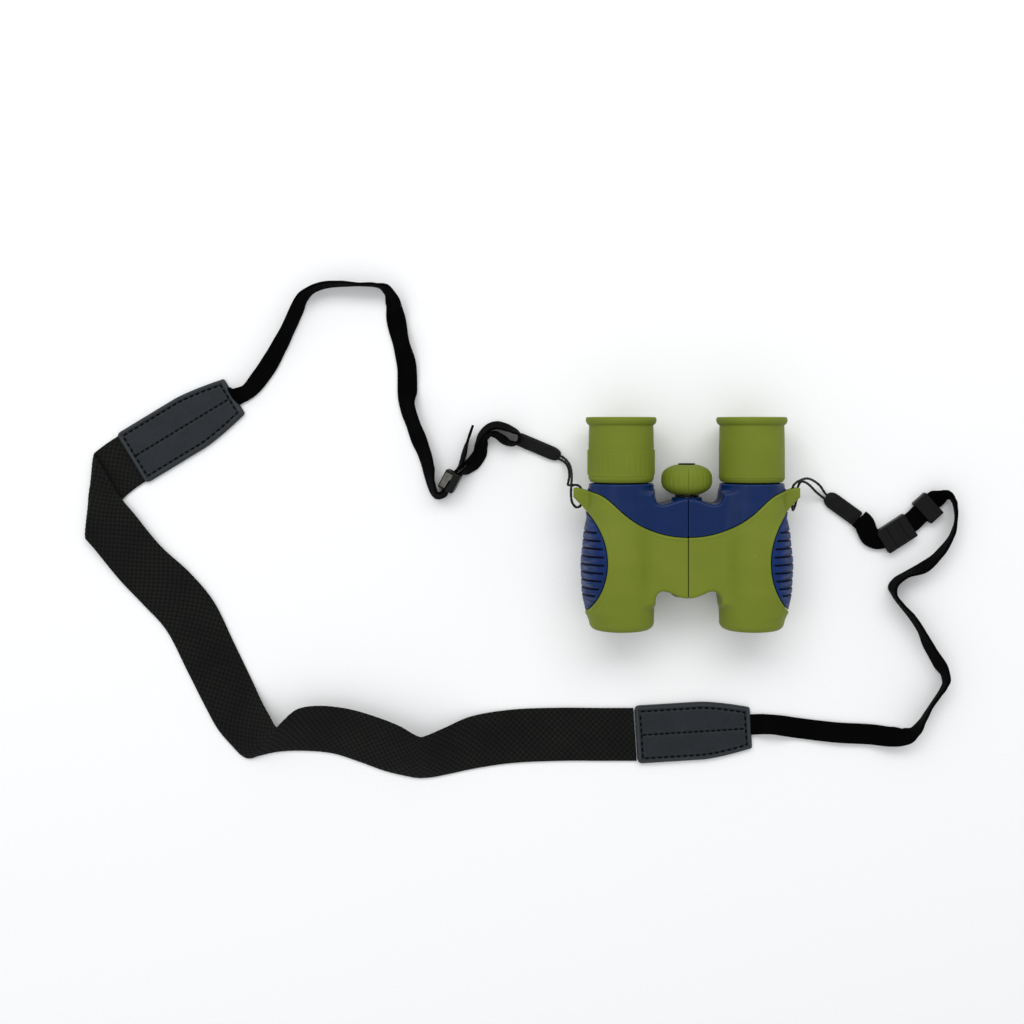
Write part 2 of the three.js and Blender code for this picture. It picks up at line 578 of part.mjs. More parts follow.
function neckTabShape(length) {
  const { rear, front } = NECK_TAB;
  return outline([[0, -rear / 2 + 1.5], [1.5, -rear / 2], [length * 0.6, -rear / 2], [length * 0.85, -rear / 2 + 2],
    [length, -front / 2], [length + 0.4, 0], [length, front / 2], [length * 0.85, rear / 2 - 2],
    [length * 0.6, rear / 2], [1.5, rear / 2], [0, rear / 2 - 1.5]]);
}

// A buckle: a block with a slot through which the webbing runs, centred on a point.
function slottedBuckle([x, y], degrees, { length, width, height, slotWidth, slot }) {
  const block = solid(box(-length / 2, length / 2, -width / 2, width / 2, 0.1, height));
  const opening = solid(box(-length, length, -slotWidth / 2, slotWidth / 2, slot[0], slot[1]));
  return geometryOf(block.subtract(opening)).rotateZ(THREE.MathUtils.degToRad(degrees)).translate(x, y, 0);
}

const KEEPER = { length: 8, width: 12.8, height: 4.6, slotWidth: 10.6, slot: [0.7, 3.5] };
const BUCKLE = { length: 14.5, width: 14.4, height: 4.6, slotWidth: 10.6, slot: [0.3, 3.5] };
const METAL_BUCKLE = { length: 9.4, width: 7.6, height: 10, slotWidth: 4.4, slot: [0.7, 9.2] };

// ---------------------------------------------------------------- assembly
for (const [name, side] of [["right", -1], ["left", 1]]) {
  const add = (piece, geometry, colour) => addPart(`${name}_${piece}`, closed(onSide(geometry, side)), colour);
  let shell = housing(side);
  if (side < 0) shell = shell.subtract(solid(mirrored(geometryOf(armWindow()))));
  add("housing", geometryOf(shell), "navy");
  add("armour", geometryOf(armour()), "green");
  add("grip", geometryOf(grip()), "gripBlue");
  add("objective_ring", objectiveRing(), "black");
  add("objective_cell", objectiveCell(), "black");
  add("objective_lens", lens(10.1, -35.2, -33.4, 1.6, 0.6), "glass");
  add("prism_frame", prismFrame(), "black");
  add("half_penta_prism", prism(HALF_PENTA), "glass");
  add("roof_prism", prism(ROOF), "glass");
  add("ocular_tube", ocularTube(), "black");
  add("field_lens", lens(8.5, 14.2, 16.2, 1.6, 0.8), "glass");
  add("eye_lens", lens(7.5, 35.2, 37.4, 1.0, 1.2), "glass");
  add("eyecup", eyecup(side < 0), "green");
  add("focus_arm", focusArm(side > 0 ? LEFT_ARM_Y : RIGHT_ARM_Y), "black");
}

addPart("right_diopter_ring", closed(mirrored(diopterRing())), "green");
addPart("focus_wheel", closed(focusWheel()), "green");
addPart("focus_wheel_cap", closed(rodY(5.6, 27.6, 28.4, 0, HINGE_Z)), "black");
addPart("wheel_collar", closed(ringY(5.6, 2.6, 12.75, 13.3)), "black");
addPart("focus_spindle", closed(rodY(SPINDLE_RADIUS, -24.5, 26.9, 0, HINGE_Z, SMALL_SIDES)), "steel");
addPart("focus_nut", closed(focusNut()), "brass");
addPart("upper_hinge_bush", closed(ringY(4.0, 2.5, 5.7, 12.3)), "steel");
addPart("hinge_pin", closed(rodY(2.5, -32.0, -26.5, 0, HINGE_Z, SMALL_SIDES)), "steel");
addPart("hinge_front_cap", closed(rodY(FRONT_CAP_RADIUS, -33.6, -32.65, 0, HINGE_Z)), "green");

addPart("right_loop_cord", closed(cord(RIGHT_LUG_CORD, 26)), "webbing");
addPart("left_loop_cord", closed(cord(LEFT_LUG_CORD, 26)), "webbing");
addPart("right_end_tab", closed(laid(endTabShape(22.4, 6.4), 0.2, 2.6, [-58.5, 30.9], 157)), "webbing");
addPart("left_end_tab", closed(laid(endTabShape(18.6, 7.6), 0.2, 2.6, [69.0, 10.6], -36)), "webbing");
addPart("right_webbing_loop", closed(strap(RIGHT_LOOP, 8.6, 2.6, 8)), "webbing");
addPart("right_webbing_tail", closed(strap(RIGHT_TAIL, 8.6, 1.4, 3)), "webbing");
addPart("right_webbing", closed(strap(RIGHT_WEBBING, WEBBING.width, WEBBING.thickness, 30)), "webbing");
addPart("right_neck_tab", closed(laid(neckTabShape(57), 0.1, NECK_TAB.thickness, [-260.9, 29.5], 31.3)), "leather");
addPart("neck_band", closed(strap(NECK_BAND, BAND.width, BAND.thickness, 36)), "webbing");
addPart("left_neck_tab", closed(laid(neckTabShape(54.5), 0.1, NECK_TAB.thickness, [-22.6, -100.8], 3.5)), "leather");
addPart("left_webbing", closed(strap(LEFT_WEBBING, WEBBING.width, WEBBING.thickness, 40)), "webbing");
addPart("left_webbing_loop", closed(strap(LEFT_LOOP, WEBBING.width, 2.4, 14)), "webbing");

addPart("right_strap_buckle", closed(slottedBuckle([-109.9, 19.2], 62, METAL_BUCKLE)), "buckle");
addPart("left_strap_keeper", closed(slottedBuckle([114.9, 6.4], 42, KEEPER)), "black");
addPart("left_strap_buckle", closed(slottedBuckle([101.2, -4.75], 33, BUCKLE)), "black");

export default binoculars;
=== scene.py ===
"""Compact roof-prism binoculars lying flat beside their woven neck strap, seen from above."""

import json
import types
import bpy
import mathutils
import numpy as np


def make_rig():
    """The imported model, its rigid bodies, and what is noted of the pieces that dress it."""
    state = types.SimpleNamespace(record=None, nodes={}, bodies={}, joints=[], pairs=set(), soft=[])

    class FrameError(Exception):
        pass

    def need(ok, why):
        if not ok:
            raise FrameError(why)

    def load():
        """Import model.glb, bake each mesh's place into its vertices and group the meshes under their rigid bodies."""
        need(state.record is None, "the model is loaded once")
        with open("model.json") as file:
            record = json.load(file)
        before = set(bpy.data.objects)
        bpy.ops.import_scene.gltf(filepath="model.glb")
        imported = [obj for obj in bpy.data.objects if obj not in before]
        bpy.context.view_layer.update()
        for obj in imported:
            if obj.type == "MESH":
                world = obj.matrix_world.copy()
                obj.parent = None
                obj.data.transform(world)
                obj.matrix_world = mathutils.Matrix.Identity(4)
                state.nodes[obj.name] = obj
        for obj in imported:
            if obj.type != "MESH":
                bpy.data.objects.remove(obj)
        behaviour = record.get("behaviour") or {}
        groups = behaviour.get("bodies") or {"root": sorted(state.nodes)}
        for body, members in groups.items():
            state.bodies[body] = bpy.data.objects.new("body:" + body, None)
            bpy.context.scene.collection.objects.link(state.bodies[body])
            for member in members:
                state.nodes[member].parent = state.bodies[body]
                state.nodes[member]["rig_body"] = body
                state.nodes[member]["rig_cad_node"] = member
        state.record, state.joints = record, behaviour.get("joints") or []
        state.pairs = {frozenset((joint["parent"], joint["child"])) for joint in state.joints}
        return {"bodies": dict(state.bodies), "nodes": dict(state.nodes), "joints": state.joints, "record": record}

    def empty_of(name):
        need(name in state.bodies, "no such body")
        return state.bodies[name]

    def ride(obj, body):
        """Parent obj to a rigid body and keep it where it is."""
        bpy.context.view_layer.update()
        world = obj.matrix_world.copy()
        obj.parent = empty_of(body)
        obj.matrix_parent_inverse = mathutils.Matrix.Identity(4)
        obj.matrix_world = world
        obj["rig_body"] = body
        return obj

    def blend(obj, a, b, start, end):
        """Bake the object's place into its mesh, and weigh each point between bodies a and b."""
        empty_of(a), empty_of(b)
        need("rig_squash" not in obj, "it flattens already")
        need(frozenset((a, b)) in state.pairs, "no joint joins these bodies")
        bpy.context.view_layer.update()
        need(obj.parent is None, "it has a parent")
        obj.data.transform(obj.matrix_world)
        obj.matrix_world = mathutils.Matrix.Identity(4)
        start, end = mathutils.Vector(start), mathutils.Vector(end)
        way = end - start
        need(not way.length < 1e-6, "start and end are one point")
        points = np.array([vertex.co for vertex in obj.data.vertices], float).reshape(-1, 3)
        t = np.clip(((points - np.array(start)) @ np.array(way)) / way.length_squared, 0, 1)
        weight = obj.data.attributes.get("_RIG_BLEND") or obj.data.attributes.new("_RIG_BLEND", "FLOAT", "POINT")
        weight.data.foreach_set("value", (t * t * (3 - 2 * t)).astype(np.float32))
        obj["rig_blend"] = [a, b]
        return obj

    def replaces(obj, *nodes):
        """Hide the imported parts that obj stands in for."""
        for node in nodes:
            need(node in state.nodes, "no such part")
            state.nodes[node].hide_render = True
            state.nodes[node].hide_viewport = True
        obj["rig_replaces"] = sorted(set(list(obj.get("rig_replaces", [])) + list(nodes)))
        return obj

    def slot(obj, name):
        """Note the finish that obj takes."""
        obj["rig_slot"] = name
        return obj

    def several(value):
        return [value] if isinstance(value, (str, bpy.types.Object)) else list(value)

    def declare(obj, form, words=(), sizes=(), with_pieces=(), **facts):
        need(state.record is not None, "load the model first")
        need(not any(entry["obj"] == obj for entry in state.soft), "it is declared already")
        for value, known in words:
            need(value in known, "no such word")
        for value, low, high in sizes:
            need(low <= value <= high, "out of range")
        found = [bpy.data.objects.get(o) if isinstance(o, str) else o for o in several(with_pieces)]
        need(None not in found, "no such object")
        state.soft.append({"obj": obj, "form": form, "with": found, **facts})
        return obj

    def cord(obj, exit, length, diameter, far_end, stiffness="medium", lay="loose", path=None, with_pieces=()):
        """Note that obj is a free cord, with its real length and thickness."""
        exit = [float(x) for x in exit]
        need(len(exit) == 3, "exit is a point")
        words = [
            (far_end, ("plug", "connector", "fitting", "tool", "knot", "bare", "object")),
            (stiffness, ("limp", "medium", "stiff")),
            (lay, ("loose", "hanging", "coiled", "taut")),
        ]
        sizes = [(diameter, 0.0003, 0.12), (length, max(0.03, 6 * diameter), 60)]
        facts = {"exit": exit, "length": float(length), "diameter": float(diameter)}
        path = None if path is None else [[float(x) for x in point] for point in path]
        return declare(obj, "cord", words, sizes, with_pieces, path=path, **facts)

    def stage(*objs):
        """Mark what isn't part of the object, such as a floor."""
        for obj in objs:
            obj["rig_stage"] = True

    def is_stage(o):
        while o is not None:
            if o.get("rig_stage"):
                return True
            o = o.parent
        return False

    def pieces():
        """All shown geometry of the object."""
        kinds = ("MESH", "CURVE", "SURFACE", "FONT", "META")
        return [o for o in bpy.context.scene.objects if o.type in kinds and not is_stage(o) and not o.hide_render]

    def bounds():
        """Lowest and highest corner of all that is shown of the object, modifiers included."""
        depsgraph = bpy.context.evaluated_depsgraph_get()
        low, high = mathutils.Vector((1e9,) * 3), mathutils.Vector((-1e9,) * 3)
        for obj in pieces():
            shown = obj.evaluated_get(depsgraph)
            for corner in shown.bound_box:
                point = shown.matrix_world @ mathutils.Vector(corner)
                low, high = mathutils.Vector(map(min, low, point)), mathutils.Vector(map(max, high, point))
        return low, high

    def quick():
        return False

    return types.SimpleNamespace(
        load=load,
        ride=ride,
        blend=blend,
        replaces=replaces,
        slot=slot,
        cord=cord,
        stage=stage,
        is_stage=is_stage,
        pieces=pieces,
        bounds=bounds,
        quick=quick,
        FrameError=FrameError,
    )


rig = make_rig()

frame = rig.load()

import json
import math

import bpy
import numpy as np

cad_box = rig.bounds()
scene = bpy.context.scene
MM = 0.001
MESH_STEP = 0.9 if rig.quick() else 0.5  # grid of the moulded shells

# ------------------------------------------------------------------ dimensions, millimetres
AXIS_X, AXIS_Z, HINGE_Z = 30.0, 18.0, 19.0
GAP, SKIN = 0.3, 1.4
FRONT_Y, NECK_TOP_Y, HOUSING_FRONT_Y = -48.1, 18.9, -45.4
END_ROUND = 3.4
SEAM_X = 0.15
HINGE_CUT = 7.3
FOLD_HALF_ANGLE = math.radians(30.5)
GRIP_ARC = (68.0, -16.5, 31.5)  # x, y and radius of the thumb grip's border
GROOVES = [-3.0, -6.6, -10.2, -13.8, -17.4, -21.0, -24.6, -28.2, -31.4]
EYELET_X, EYELET_RADIUS = 48.6, 1.25
MOUTH_RADIUS, BORE_RADIUS, PRISM_BORE_RADIUS = 11.95, 11.7, 12.5
BRIDGE_LOW, BRIDGE_HIGH = 8.7, 29.3
PIN_MIDDLE_Y = -17.35
KNUCKLE_RADIUS, KNUCKLE_WEB = 7.0, (0.5, 8.5, 3.6)  # the web's start and end in X, and half height
ARM_SLOT_Y, ARM_SLOT_HALF = -14.7, (3.95, 1.9)  # half length in Y and half height
ARM_WINDOW = (-82, 22)  # degrees that the left arm sweeps through the right half's knuckle
WHEEL_Y, WHEEL_HALF, WHEEL_RADIUS = 20.45, 6.85, 11.65
EYEPIECE_BODIES = {  # of the eyecup, the eye lens and the objective
    "right": ("diopter_ring", "right_ocular", "focus_carriage"),
    "left": ("left_half", "left_half", "left_focus_cell")}
KNUCKLES = {  # y of both ends and the bore's radius
    "left": [(5.6, 8.7, 4.3), (-29.2, -26.3, 2.8)],
    "right": [(9.0, 12.45, 4.3), (-26.0, 5.3, 5.9), (-32.35, -29.5, 2.8)]}
SECTIONS = np.array([  # y, inner, outer, up, down, power
    (-45, 15.0, 14.7, 14.9, 14.9, 2.0),
    (-39, 15.1, 16.7, 15.9, 16.3, 2.1),
    (-30, 15.2, 18.1, 17.2, 18.1, 2.2),
    (-18, 15.3, 18.6, 17.8, 18.6, 2.3),
    (-6, 15.3, 17.5, 17.3, 18.4, 2.2),
    (5, 15.3, 15.7, 16.1, 16.6, 2.1),
    (12, 15.3, 15.3, 15.3, 15.4, 2.0),
    (18.9, 15.0, 15.0, 15.0, 15.0, 2.0)])
BAND_WIDTH, BAND_THICKNESS = 25.0, 1.6
WEBBING_WIDTH, WEBBING_THICKNESS = 9.4, 1.5
LOOP_WIDTH, LOOP_THICKNESS = 8.4, 1.2
CORD_RADIUS = 0.58
TABLE_GAP = 0.05
STRAP_STEP = 0.35
NECK_TABS = {"right": (57.0, (-260.9, 29.5), 31.3), "left": (54.5, (-22.6, -100.8), 3.5)}
LOOP_TABS = {"right": (21.6, 6.4, (-58.4, 30.6), 157, 0.0), "left": (18.8, 7.8, (67.2, 11.9), -36, 0.22)}
RIGHT_BUCKLE_PLACE = ((-109.9, 19.2), 62)
KEEPER_PLACE = ((114.9, 6.4), 42)
LEFT_BUCKLE_PLACE = ((100.05, -5.7), 33)

# Routes along the CAD solids, as [x, y, z] or [x, y, z, tilt in degrees]. A flat strap stands on edge at 90.
RIGHT_LUG_CORD = [
    (-59.6, 31.4, 1.6), (-57.6, 30.6, 1.8), (-55.8, 29.3, 3), (-53.7, 26.6, 6.4), (-52.8, 22.3, 12.4),
    (-52.9, 17.5, 18.2), (-53.0, 13.1, 19.3), (-52.3, 9.6, 19.2), (-50.4, 7.7, 18.4), (-48.6, 8.6, 18),
    (-48.6, 13, 18), (-48.6, 16.8, 18), (-50.4, 17.9, 17.5), (-53.0, 17.7, 16.7), (-54.4, 17.9, 16.0),
    (-54.3, 19.2, 14.4), (-53.9, 22.2, 10.8), (-54.8, 26.2, 5.4), (-56.8, 28.4, 2.4), (-59.4, 29.6, 1.6)]
LEFT_LUG_CORD = [
    (68.6, 11.8, 1.6), (66.9, 13.0, 1.9), (63.9, 16.9, 4), (59.7, 19.7, 8), (55.8, 20.7, 13),
    (52.6, 20.0, 16.2), (50.2, 18.8, 17.6), (48.9, 17.2, 18), (48.6, 13, 18), (48.6, 8.2, 18),
    (49.2, 6.3, 16.0), (50.6, 8.2, 13.4), (51.6, 12.5, 12.9), (52.0, 17.0, 13.4), (53.2, 19.2, 13.9),
    (55.4, 19.0, 11.6), (58.4, 17.2, 8.4), (62.0, 14.0, 4.6), (66.0, 11.0, 1.8), (67.8, 9.8, 1.6)]
RIGHT_WEBBING = [
    (-109.6, 19.6, 5.1, 90), (-111.2, 16.4, 5.1, 86), (-113.4, 12.9, 5.1, 74), (-116.4, 12.6, 4.9, 68),
    (-119, 18.3, 4.6, 62), (-120.2, 25.2, 4.2, 49), (-122.1, 32.1, 3.9, 44), (-124.9, 39, 3.4, 35),
    (-127.5, 46, 3.8, 41), (-130.2, 54.3, 3.5, 37), (-130.5, 63.2, 1.3, 5), (-130.8, 73.6, 1.8, 12),
    (-133.2, 84, 3.1, 30), (-135.6, 94.3, 1.8, 12), (-136.8, 102.6, 3.6, 38), (-139.3, 108.6, 4.6, 62),
    (-144.4, 111, 4.8, 88), (-151.9, 111.4, 4.8, 92), (-161.3, 111.7, 4.9, 84), (-169, 111.1, 4.9, 81),
    (-175.2, 108.8, 4.9, 80), (-179.3, 105.2, 4.8, 70), (-182.2, 99.1, 4.6, 62), (-185.9, 90.9, 4.6, 62),
    (-190.6, 81.9, 4.4, 54), (-195.4, 73.6, 4, 45), (-199.7, 67.4, 4, 45), (-204.5, 61.6, 4.3, 52),
    (-209.2, 59.4, 4, 45), (-214.6, 58.6, 1.3, 8)]
LEFT_WEBBING = [
    (29.4, -96.3, 1.2, 0), (32.9, -95.9, 1.5, 8), (40.8, -95.5, 3.1, 30), (55.2, -97.8, 1.3, 5),
    (72.5, -99.7, 1.7, 10), (87.6, -100.5, 1.7, 10), (98, -101.3, 3.1, 30), (104.1, -100.8, 4.4, 55),
    (108.6, -98, 4.9, 81), (112.5, -92.2, 4.9, 96), (115.8, -86.5, 4.9, 102), (119.4, -81.3, 4.9, 101),
    (122.1, -77, 4.9, 96), (122.7, -72.8, 4.9, 81), (120.1, -67.2, 4.6, 63), (115.1, -59, 4.8, 70),
    (111.1, -51, 4.9, 82), (106.4, -44, 4.9, 82), (101.9, -38.9, 4.9, 87), (98.6, -34.4, 4.8, 90),
    (97.7, -31.1, 4.9, 80), (99.2, -28.2, 4.9, 83), (103.9, -24.9, 4.9, 86), (112.2, -21.4, 4.8, 71),
    (119.7, -14.9, 4.9, 84), (125.7, -6, 4.9, 97), (127.4, 0.7, 4.9, 104), (127.2, 6.9, 4.9, 99),
    (126, 10.5, 4.8, 92), (122.6, 12.4, 4.5, 58), (118.6, 10.6, 2.4, 18), (114.9, 7.2, 2.1, 0),
    (111.6, 4.2, 2.1, 0)]
LEFT_LOOP = [
    (117.6, 8.9, 2.1, 4), (111.4, 3.5, 2.1, 0), (107.2, -0.45, 2.0, 0), (100.5, -4.6, 2.0, 0),
    (94.9, -7.6, 2.1, 0), (91.2, -8.4, 2.4, 8), (88.0, -7.2, 2.9, 18), (86.2, -4.2, 3.2, 20),
    (85.0, -1.0, 3.0, 12), (82.6, 1.4, 2.5, 4)]
RIGHT_LOOP = [
    (-109.4, 20.8, 4.9, 90), (-107.4, 23.7, 4.9, 90), (-104.6, 26.0, 4.9, 86), (-101.4, 28.8, 4.9, 80),
    (-98.1, 32.6, 4.8, 74), (-96.8, 36.8, 4.8, 70), (-95.2, 41.0, 4.8, 68), (-92.0, 44.2, 4.8, 66),
    (-88.4, 45.4, 4.8, 66), (-84.4, 44.6, 4.8, 68), (-80.2, 42.9, 4.9, 76), (-77.4, 40.9, 4.9, 88),
    (-78.0, 37.6, 4.9, 88), (-81.6, 36.9, 4.8, 72), (-85.0, 38.6, 4.7, 62), (-88.4, 40.9, 4.8, 68),
    (-91.4, 41.2, 4.8, 78), (-93.8, 39.2, 4.6, 74), (-94.9, 35.6, 4.3, 60), (-96.0, 31.6, 4.0, 50),
    (-98.4, 27.6, 4.1, 52), (-101.6, 24.4, 4.5, 66), (-105.0, 22.6, 4.9, 84), (-107.4, 21.6, 4.9, 90),
    (-109.2, 19.0, 4.9, 90)]
RIGHT_TAIL = [
    (-108.2, 22.9, 4.9, 90), (-106.0, 25.4, 4.9, 84), (-104.4, 28.4, 4.8, 74), (-103.5, 31.4, 4.8, 72),
    (-102.7, 34.6, 4.8, 76), (-101.7, 38.0, 4.9, 84), (-100.5, 41.6, 4.9, 90), (-99.2, 45.4, 4.9, 90)]

# The padded band: first straight from the leather tab to a flat fold, then by its two edges.
BAND_START = (-261.0, 29.4)
BAND_HEADINGS = [  # distance from the start and degrees
    (-6, 211.3), (0, 211.5), (8, 217), (16, 224), (24, 229), (27, 229), (35, 222), (43, 216), (51, 213.5)]
FOLD_START = (-278.8, 29.4)
FOLD_LINE = (-0.1092, -0.9940)
FOLD_RADIUS = 0.95
BAND_EDGES = [  # right edge and left edge, [x, y, z] each, after the fold
    (-247.0, -11.5, 2.0, -266.0, -27.9, 1.6),
    (-233.4, -24.2, 1.5, -255.0, -39.6, 1.2),
    (-222.4, -37.4, 1.3, -244.6, -51.2, 1.0),
    (-212.1, -58.5, 0.9, -234.3, -71.2, 0.9),
    (-203.6, -76.0, 1.2, -225.8, -88.0, 0.9),
    (-198.6, -84.6, 4.2, -220.1, -98.2, 0.9),
    (-193.9, -90.6, 8.0, -213.8, -105.6, 0.9),
    (-190.6, -94.4, 11.2, -208.4, -110.9, 0.9),
    (-188.8, -94.6, 12.6, -205.4, -112.0, 0.9),
    (-185.8, -91.4, 12.8, -200.6, -110.7, 0.9),
    (-180.6, -86.8, 11.6, -192.2, -108.9, 0.9),
    (-172.0, -85.2, 10.8, -181.4, -108.3, 0.9),
    (-158.0, -86.4, 10.6, -166.2, -109.5, 0.9),
    (-144.6, -90.0, 10.8, -153.0, -113.6, 0.9),
    (-132.6, -94.4, 11.8, -141.0, -117.9, 0.9),
    (-126.0, -98.0, 12.6, -131.4, -120.2, 0.9),
    (-122.8, -99.2, 12.8, -125.4, -121.2, 0.9),
    (-119.8, -98.6, 12.0, -119.4, -120.9, 0.9),
    (-111.7, -95.9, 7.6, -111.7, -119.5, 0.9),
    (-100.9, -92.0, 3.0, -99.3, -116.9, 0.9),
    (-82.6, -89.2, 0.9, -81.6, -114.3, 0.9),
    (-58.5, -88.2, 0.9, -57.5, -113.2, 0.9),
    (-40.0, -88.3, 0.9, -38.6, -113.2, 0.9),
    (-23.8, -88.3, 0.9, -22.2, -113.2, 0.9)]


# ------------------------------------------------------------------ camera
def add_camera():
    data = bpy.data.cameras.new("camera")
    data.sensor_width = 36
    data.lens = 44.56
    data.shift_x, data.shift_y = -0.0732, -0.0850
    data.clip_start, data.clip_end = 0.01, 20
    camera = bpy.data.objects.new("camera", data)
    camera.location = (-0.0457, 0.0455, 0.600)
    scene.collection.objects.link(camera)
    scene.camera = camera


# ------------------------------------------------------------------ materials
def linear(rgb):
    """Display colour from 0 to 255 as a linear colour with alpha."""
    values = [c / 255 for c in rgb]
    return tuple(c / 12.92 if c <= 0.04045 else ((c + 0.055) / 1.055) ** 2.4 for c in values) + (1.0,)


class Nodes:
    """A material's node tree, with short ways to add and join nodes."""

    def __init__(self, name):
        self.material = bpy.data.materials.new(name)
        self.material.use_nodes = True
        self.tree = self.material.node_tree
        self.shader = self.tree.nodes["Principled BSDF"]

    def add(self, kind, inputs=None, **settings):
        node = self.tree.nodes.new(kind)
        for key, value in settings.items():
            setattr(node, key, value)
        for key, value in (inputs or {}).items():
            if isinstance(value, bpy.types.NodeSocket):
                self.tree.links.new(value, node.inputs[key])
            else:
                node.inputs[key].default_value = value
        return node

    def set(self, **values):
        for key, value in values.items():
            socket = self.shader.inputs[key.replace("_", " ")]
            if isinstance(value, bpy.types.NodeSocket):
                self.tree.links.new(value, socket)
            else:
                socket.default_value = value

    def place(self):
        return self.add("ShaderNodeTexCoord").outputs["Object"]

    def noise(self, place, scale, detail=3.0, roughness=0.5):
        return self.add("ShaderNodeTexNoise", {
            "Vector": place, "Scale": scale, "Detail": detail, "Roughness": roughness}).outputs["Fac"]

    def math(self, operation, a, b=0.0):
        return self.add("ShaderNodeMath", {0: a, 1: b}, operation=operation).outputs[0]

    def spread(self, value, low, high, to_low, to_high):
        return self.add("ShaderNodeMapRange", {
            "Value": value, "From Min": low, "From Max": high, "To Min": to_low, "To Max": to_high,
        }).outputs["Result"]

    def mix(self, factor, a, b):
        return self.add("ShaderNodeMix", {"Factor": factor, 6: a, 7: b}, data_type="RGBA").outputs[2]

    def bump(self, height, distance, normal=None):
        inputs = {"Height": height, "Distance": distance}
        if normal is not None:
            inputs["Normal"] = normal
        return self.add("ShaderNodeBump", inputs).outputs["Normal"]


def moulded(name, colour, worn, roughness, grain_scale, grain_depth, edge_wear_and_highlight=0.5, cloud=0.25, **values):
    """Moulded rubber or plastic: clouded colour, fine grain, and paler edges that are partly wear and partly a painted
    highlight.
    """
    n = Nodes(name)
    place = n.place()
    cloud_noise = n.noise(place, 60, 4)
    speckle = n.noise(place, 1400, 2)
    edge = n.add("ShaderNodeNewGeometry").outputs["Pointiness"]
    dark = tuple(c * (1 - cloud) for c in linear(colour)[:3]) + (1,)
    base = n.mix(n.spread(cloud_noise, 0.35, 0.65, 0, 1), dark, linear(colour))
    base = n.mix(n.math("MULTIPLY", n.spread(speckle, 0.55, 0.75, 0, 1), 0.12), base, linear(worn))
    # Paler convex edges, found by pointiness and broken into patches: partly wear, partly a painted highlight.
    patchy_wear_and_highlight = n.spread(cloud_noise, 0.3, 0.7, edge_wear_and_highlight * 0.6, edge_wear_and_highlight)
    base = n.mix(n.math("MULTIPLY", n.spread(edge, 0.515, 0.56, 0, 1), patchy_wear_and_highlight), base, linear(worn))
    sheen = n.spread(n.noise(place, 220, 3), 0.3, 0.7, roughness - 0.06, roughness + 0.07)
    n.set(Base_Color=base, Roughness=sheen)
    coarse = n.bump(n.noise(place, grain_scale * 0.18, 2), grain_depth * 1.5)
    n.set(Normal=n.bump(n.noise(place, grain_scale, 3), grain_depth, coarse), **values)
    return n.material


def grip_rubber(name, colour, dust):
    """Ribbed rubber: painted shade in the grooves, and dust with a painted reflection on the outer parts of the ribs.
    """
    n = Nodes(name)
    place = n.place()
    split = n.add("ShaderNodeSeparateXYZ", {"Vector": place})
    out = n.spread(n.math("ABSOLUTE", split.outputs["X"]), 0.0405, 0.0490, 0, 1)
    smear = n.add("ShaderNodeMapping", {"Vector": place, "Scale": (140, 900, 140)}).outputs["Vector"]
    patches = n.spread(n.noise(smear, 1.0, 5, 0.62), 0.42, 0.68, 0, 1)
    groove = n.add("ShaderNodeAttribute", attribute_name="strap").outputs["Fac"]
    crest = n.spread(groove, 0.0, 0.25, 1, 0.0)
    # On the rib crests of the outer side, in streaks: dust and a painted reflection of the bright surroundings.
    dust_and_painted_reflection = n.math("MULTIPLY", n.math("MULTIPLY", out, patches), crest)
    clouds = n.spread(n.noise(place, 90, 4), 0.3, 0.7, 0, 1)
    base = n.mix(clouds, linear(colour), linear([c * 1.22 for c in colour]))
    # The dust colour stands for both dust and a painted reflection here.
    base = n.mix(n.math("MULTIPLY", dust_and_painted_reflection, 0.62), base, linear(dust))
    # Painted shade: the grooves darken toward near black with their depth.
    base = n.mix(n.spread(groove, 0.1, 0.55, 0, 0.95), base, linear((2, 3, 8)))
    n.set(Base_Color=base, Roughness=n.spread(patches, 0, 1, 0.5, 0.72))
    n.set(Normal=n.bump(n.noise(place, 1500, 4), 0.00004), Specular_IOR_Level=0.15)
    return n.material


def woven(name, colour, light, pitch_along, pitch_across, gloss, depth=0.00014):
    """Nylon webbing: rows of yarn from the strap's own coordinates, in millimetres along and across."""
    n = Nodes(name)
    strap = n.add("ShaderNodeAttribute", attribute_name="strap").outputs["Vector"]
    split = n.add("ShaderNodeSeparateXYZ", {"Vector": strap})
    along, across = split.outputs["X"], split.outputs["Y"]
    wave_a = n.math("SINE", n.math("MULTIPLY", along, 2 * math.pi / pitch_along))
    wave_b = n.math("SINE", n.math("MULTIPLY", across, 2 * math.pi / pitch_across))
    basket = n.math("MULTIPLY", wave_a, wave_b)
    twist = n.math("SINE", n.math("ADD", n.math("MULTIPLY", along, 9.0), n.math("MULTIPLY", across, 14.0)))
    fuzz = n.noise(n.place(), 2600, 3)
    tone = n.spread(basket, -1, 1, 0, 1)
    patch = n.noise(n.place(), 55, 3)
    lit = n.math("MULTIPLY", tone, n.spread(patch, 0.3, 0.7, 0.35, 1.0))
    base = n.mix(lit, linear(colour), linear(light))
    fibres = n.math("MULTIPLY", n.spread(fuzz, 0.62, 0.8, 0, 1), 0.35)
    base = n.mix(fibres, base, linear([c * 1.8 for c in light]))
    height = n.math("ADD", basket, n.math("MULTIPLY", twist, 0.3))
    height = n.math("ADD", height, n.math("MULTIPLY", fuzz, 0.6))
    n.set(Base_Color=base, Roughness=n.spread(tone, 0, 1, 0.86, 0.66), Normal=n.bump(height, depth))
    n.set(Specular_IOR_Level=gloss)
    return n.material


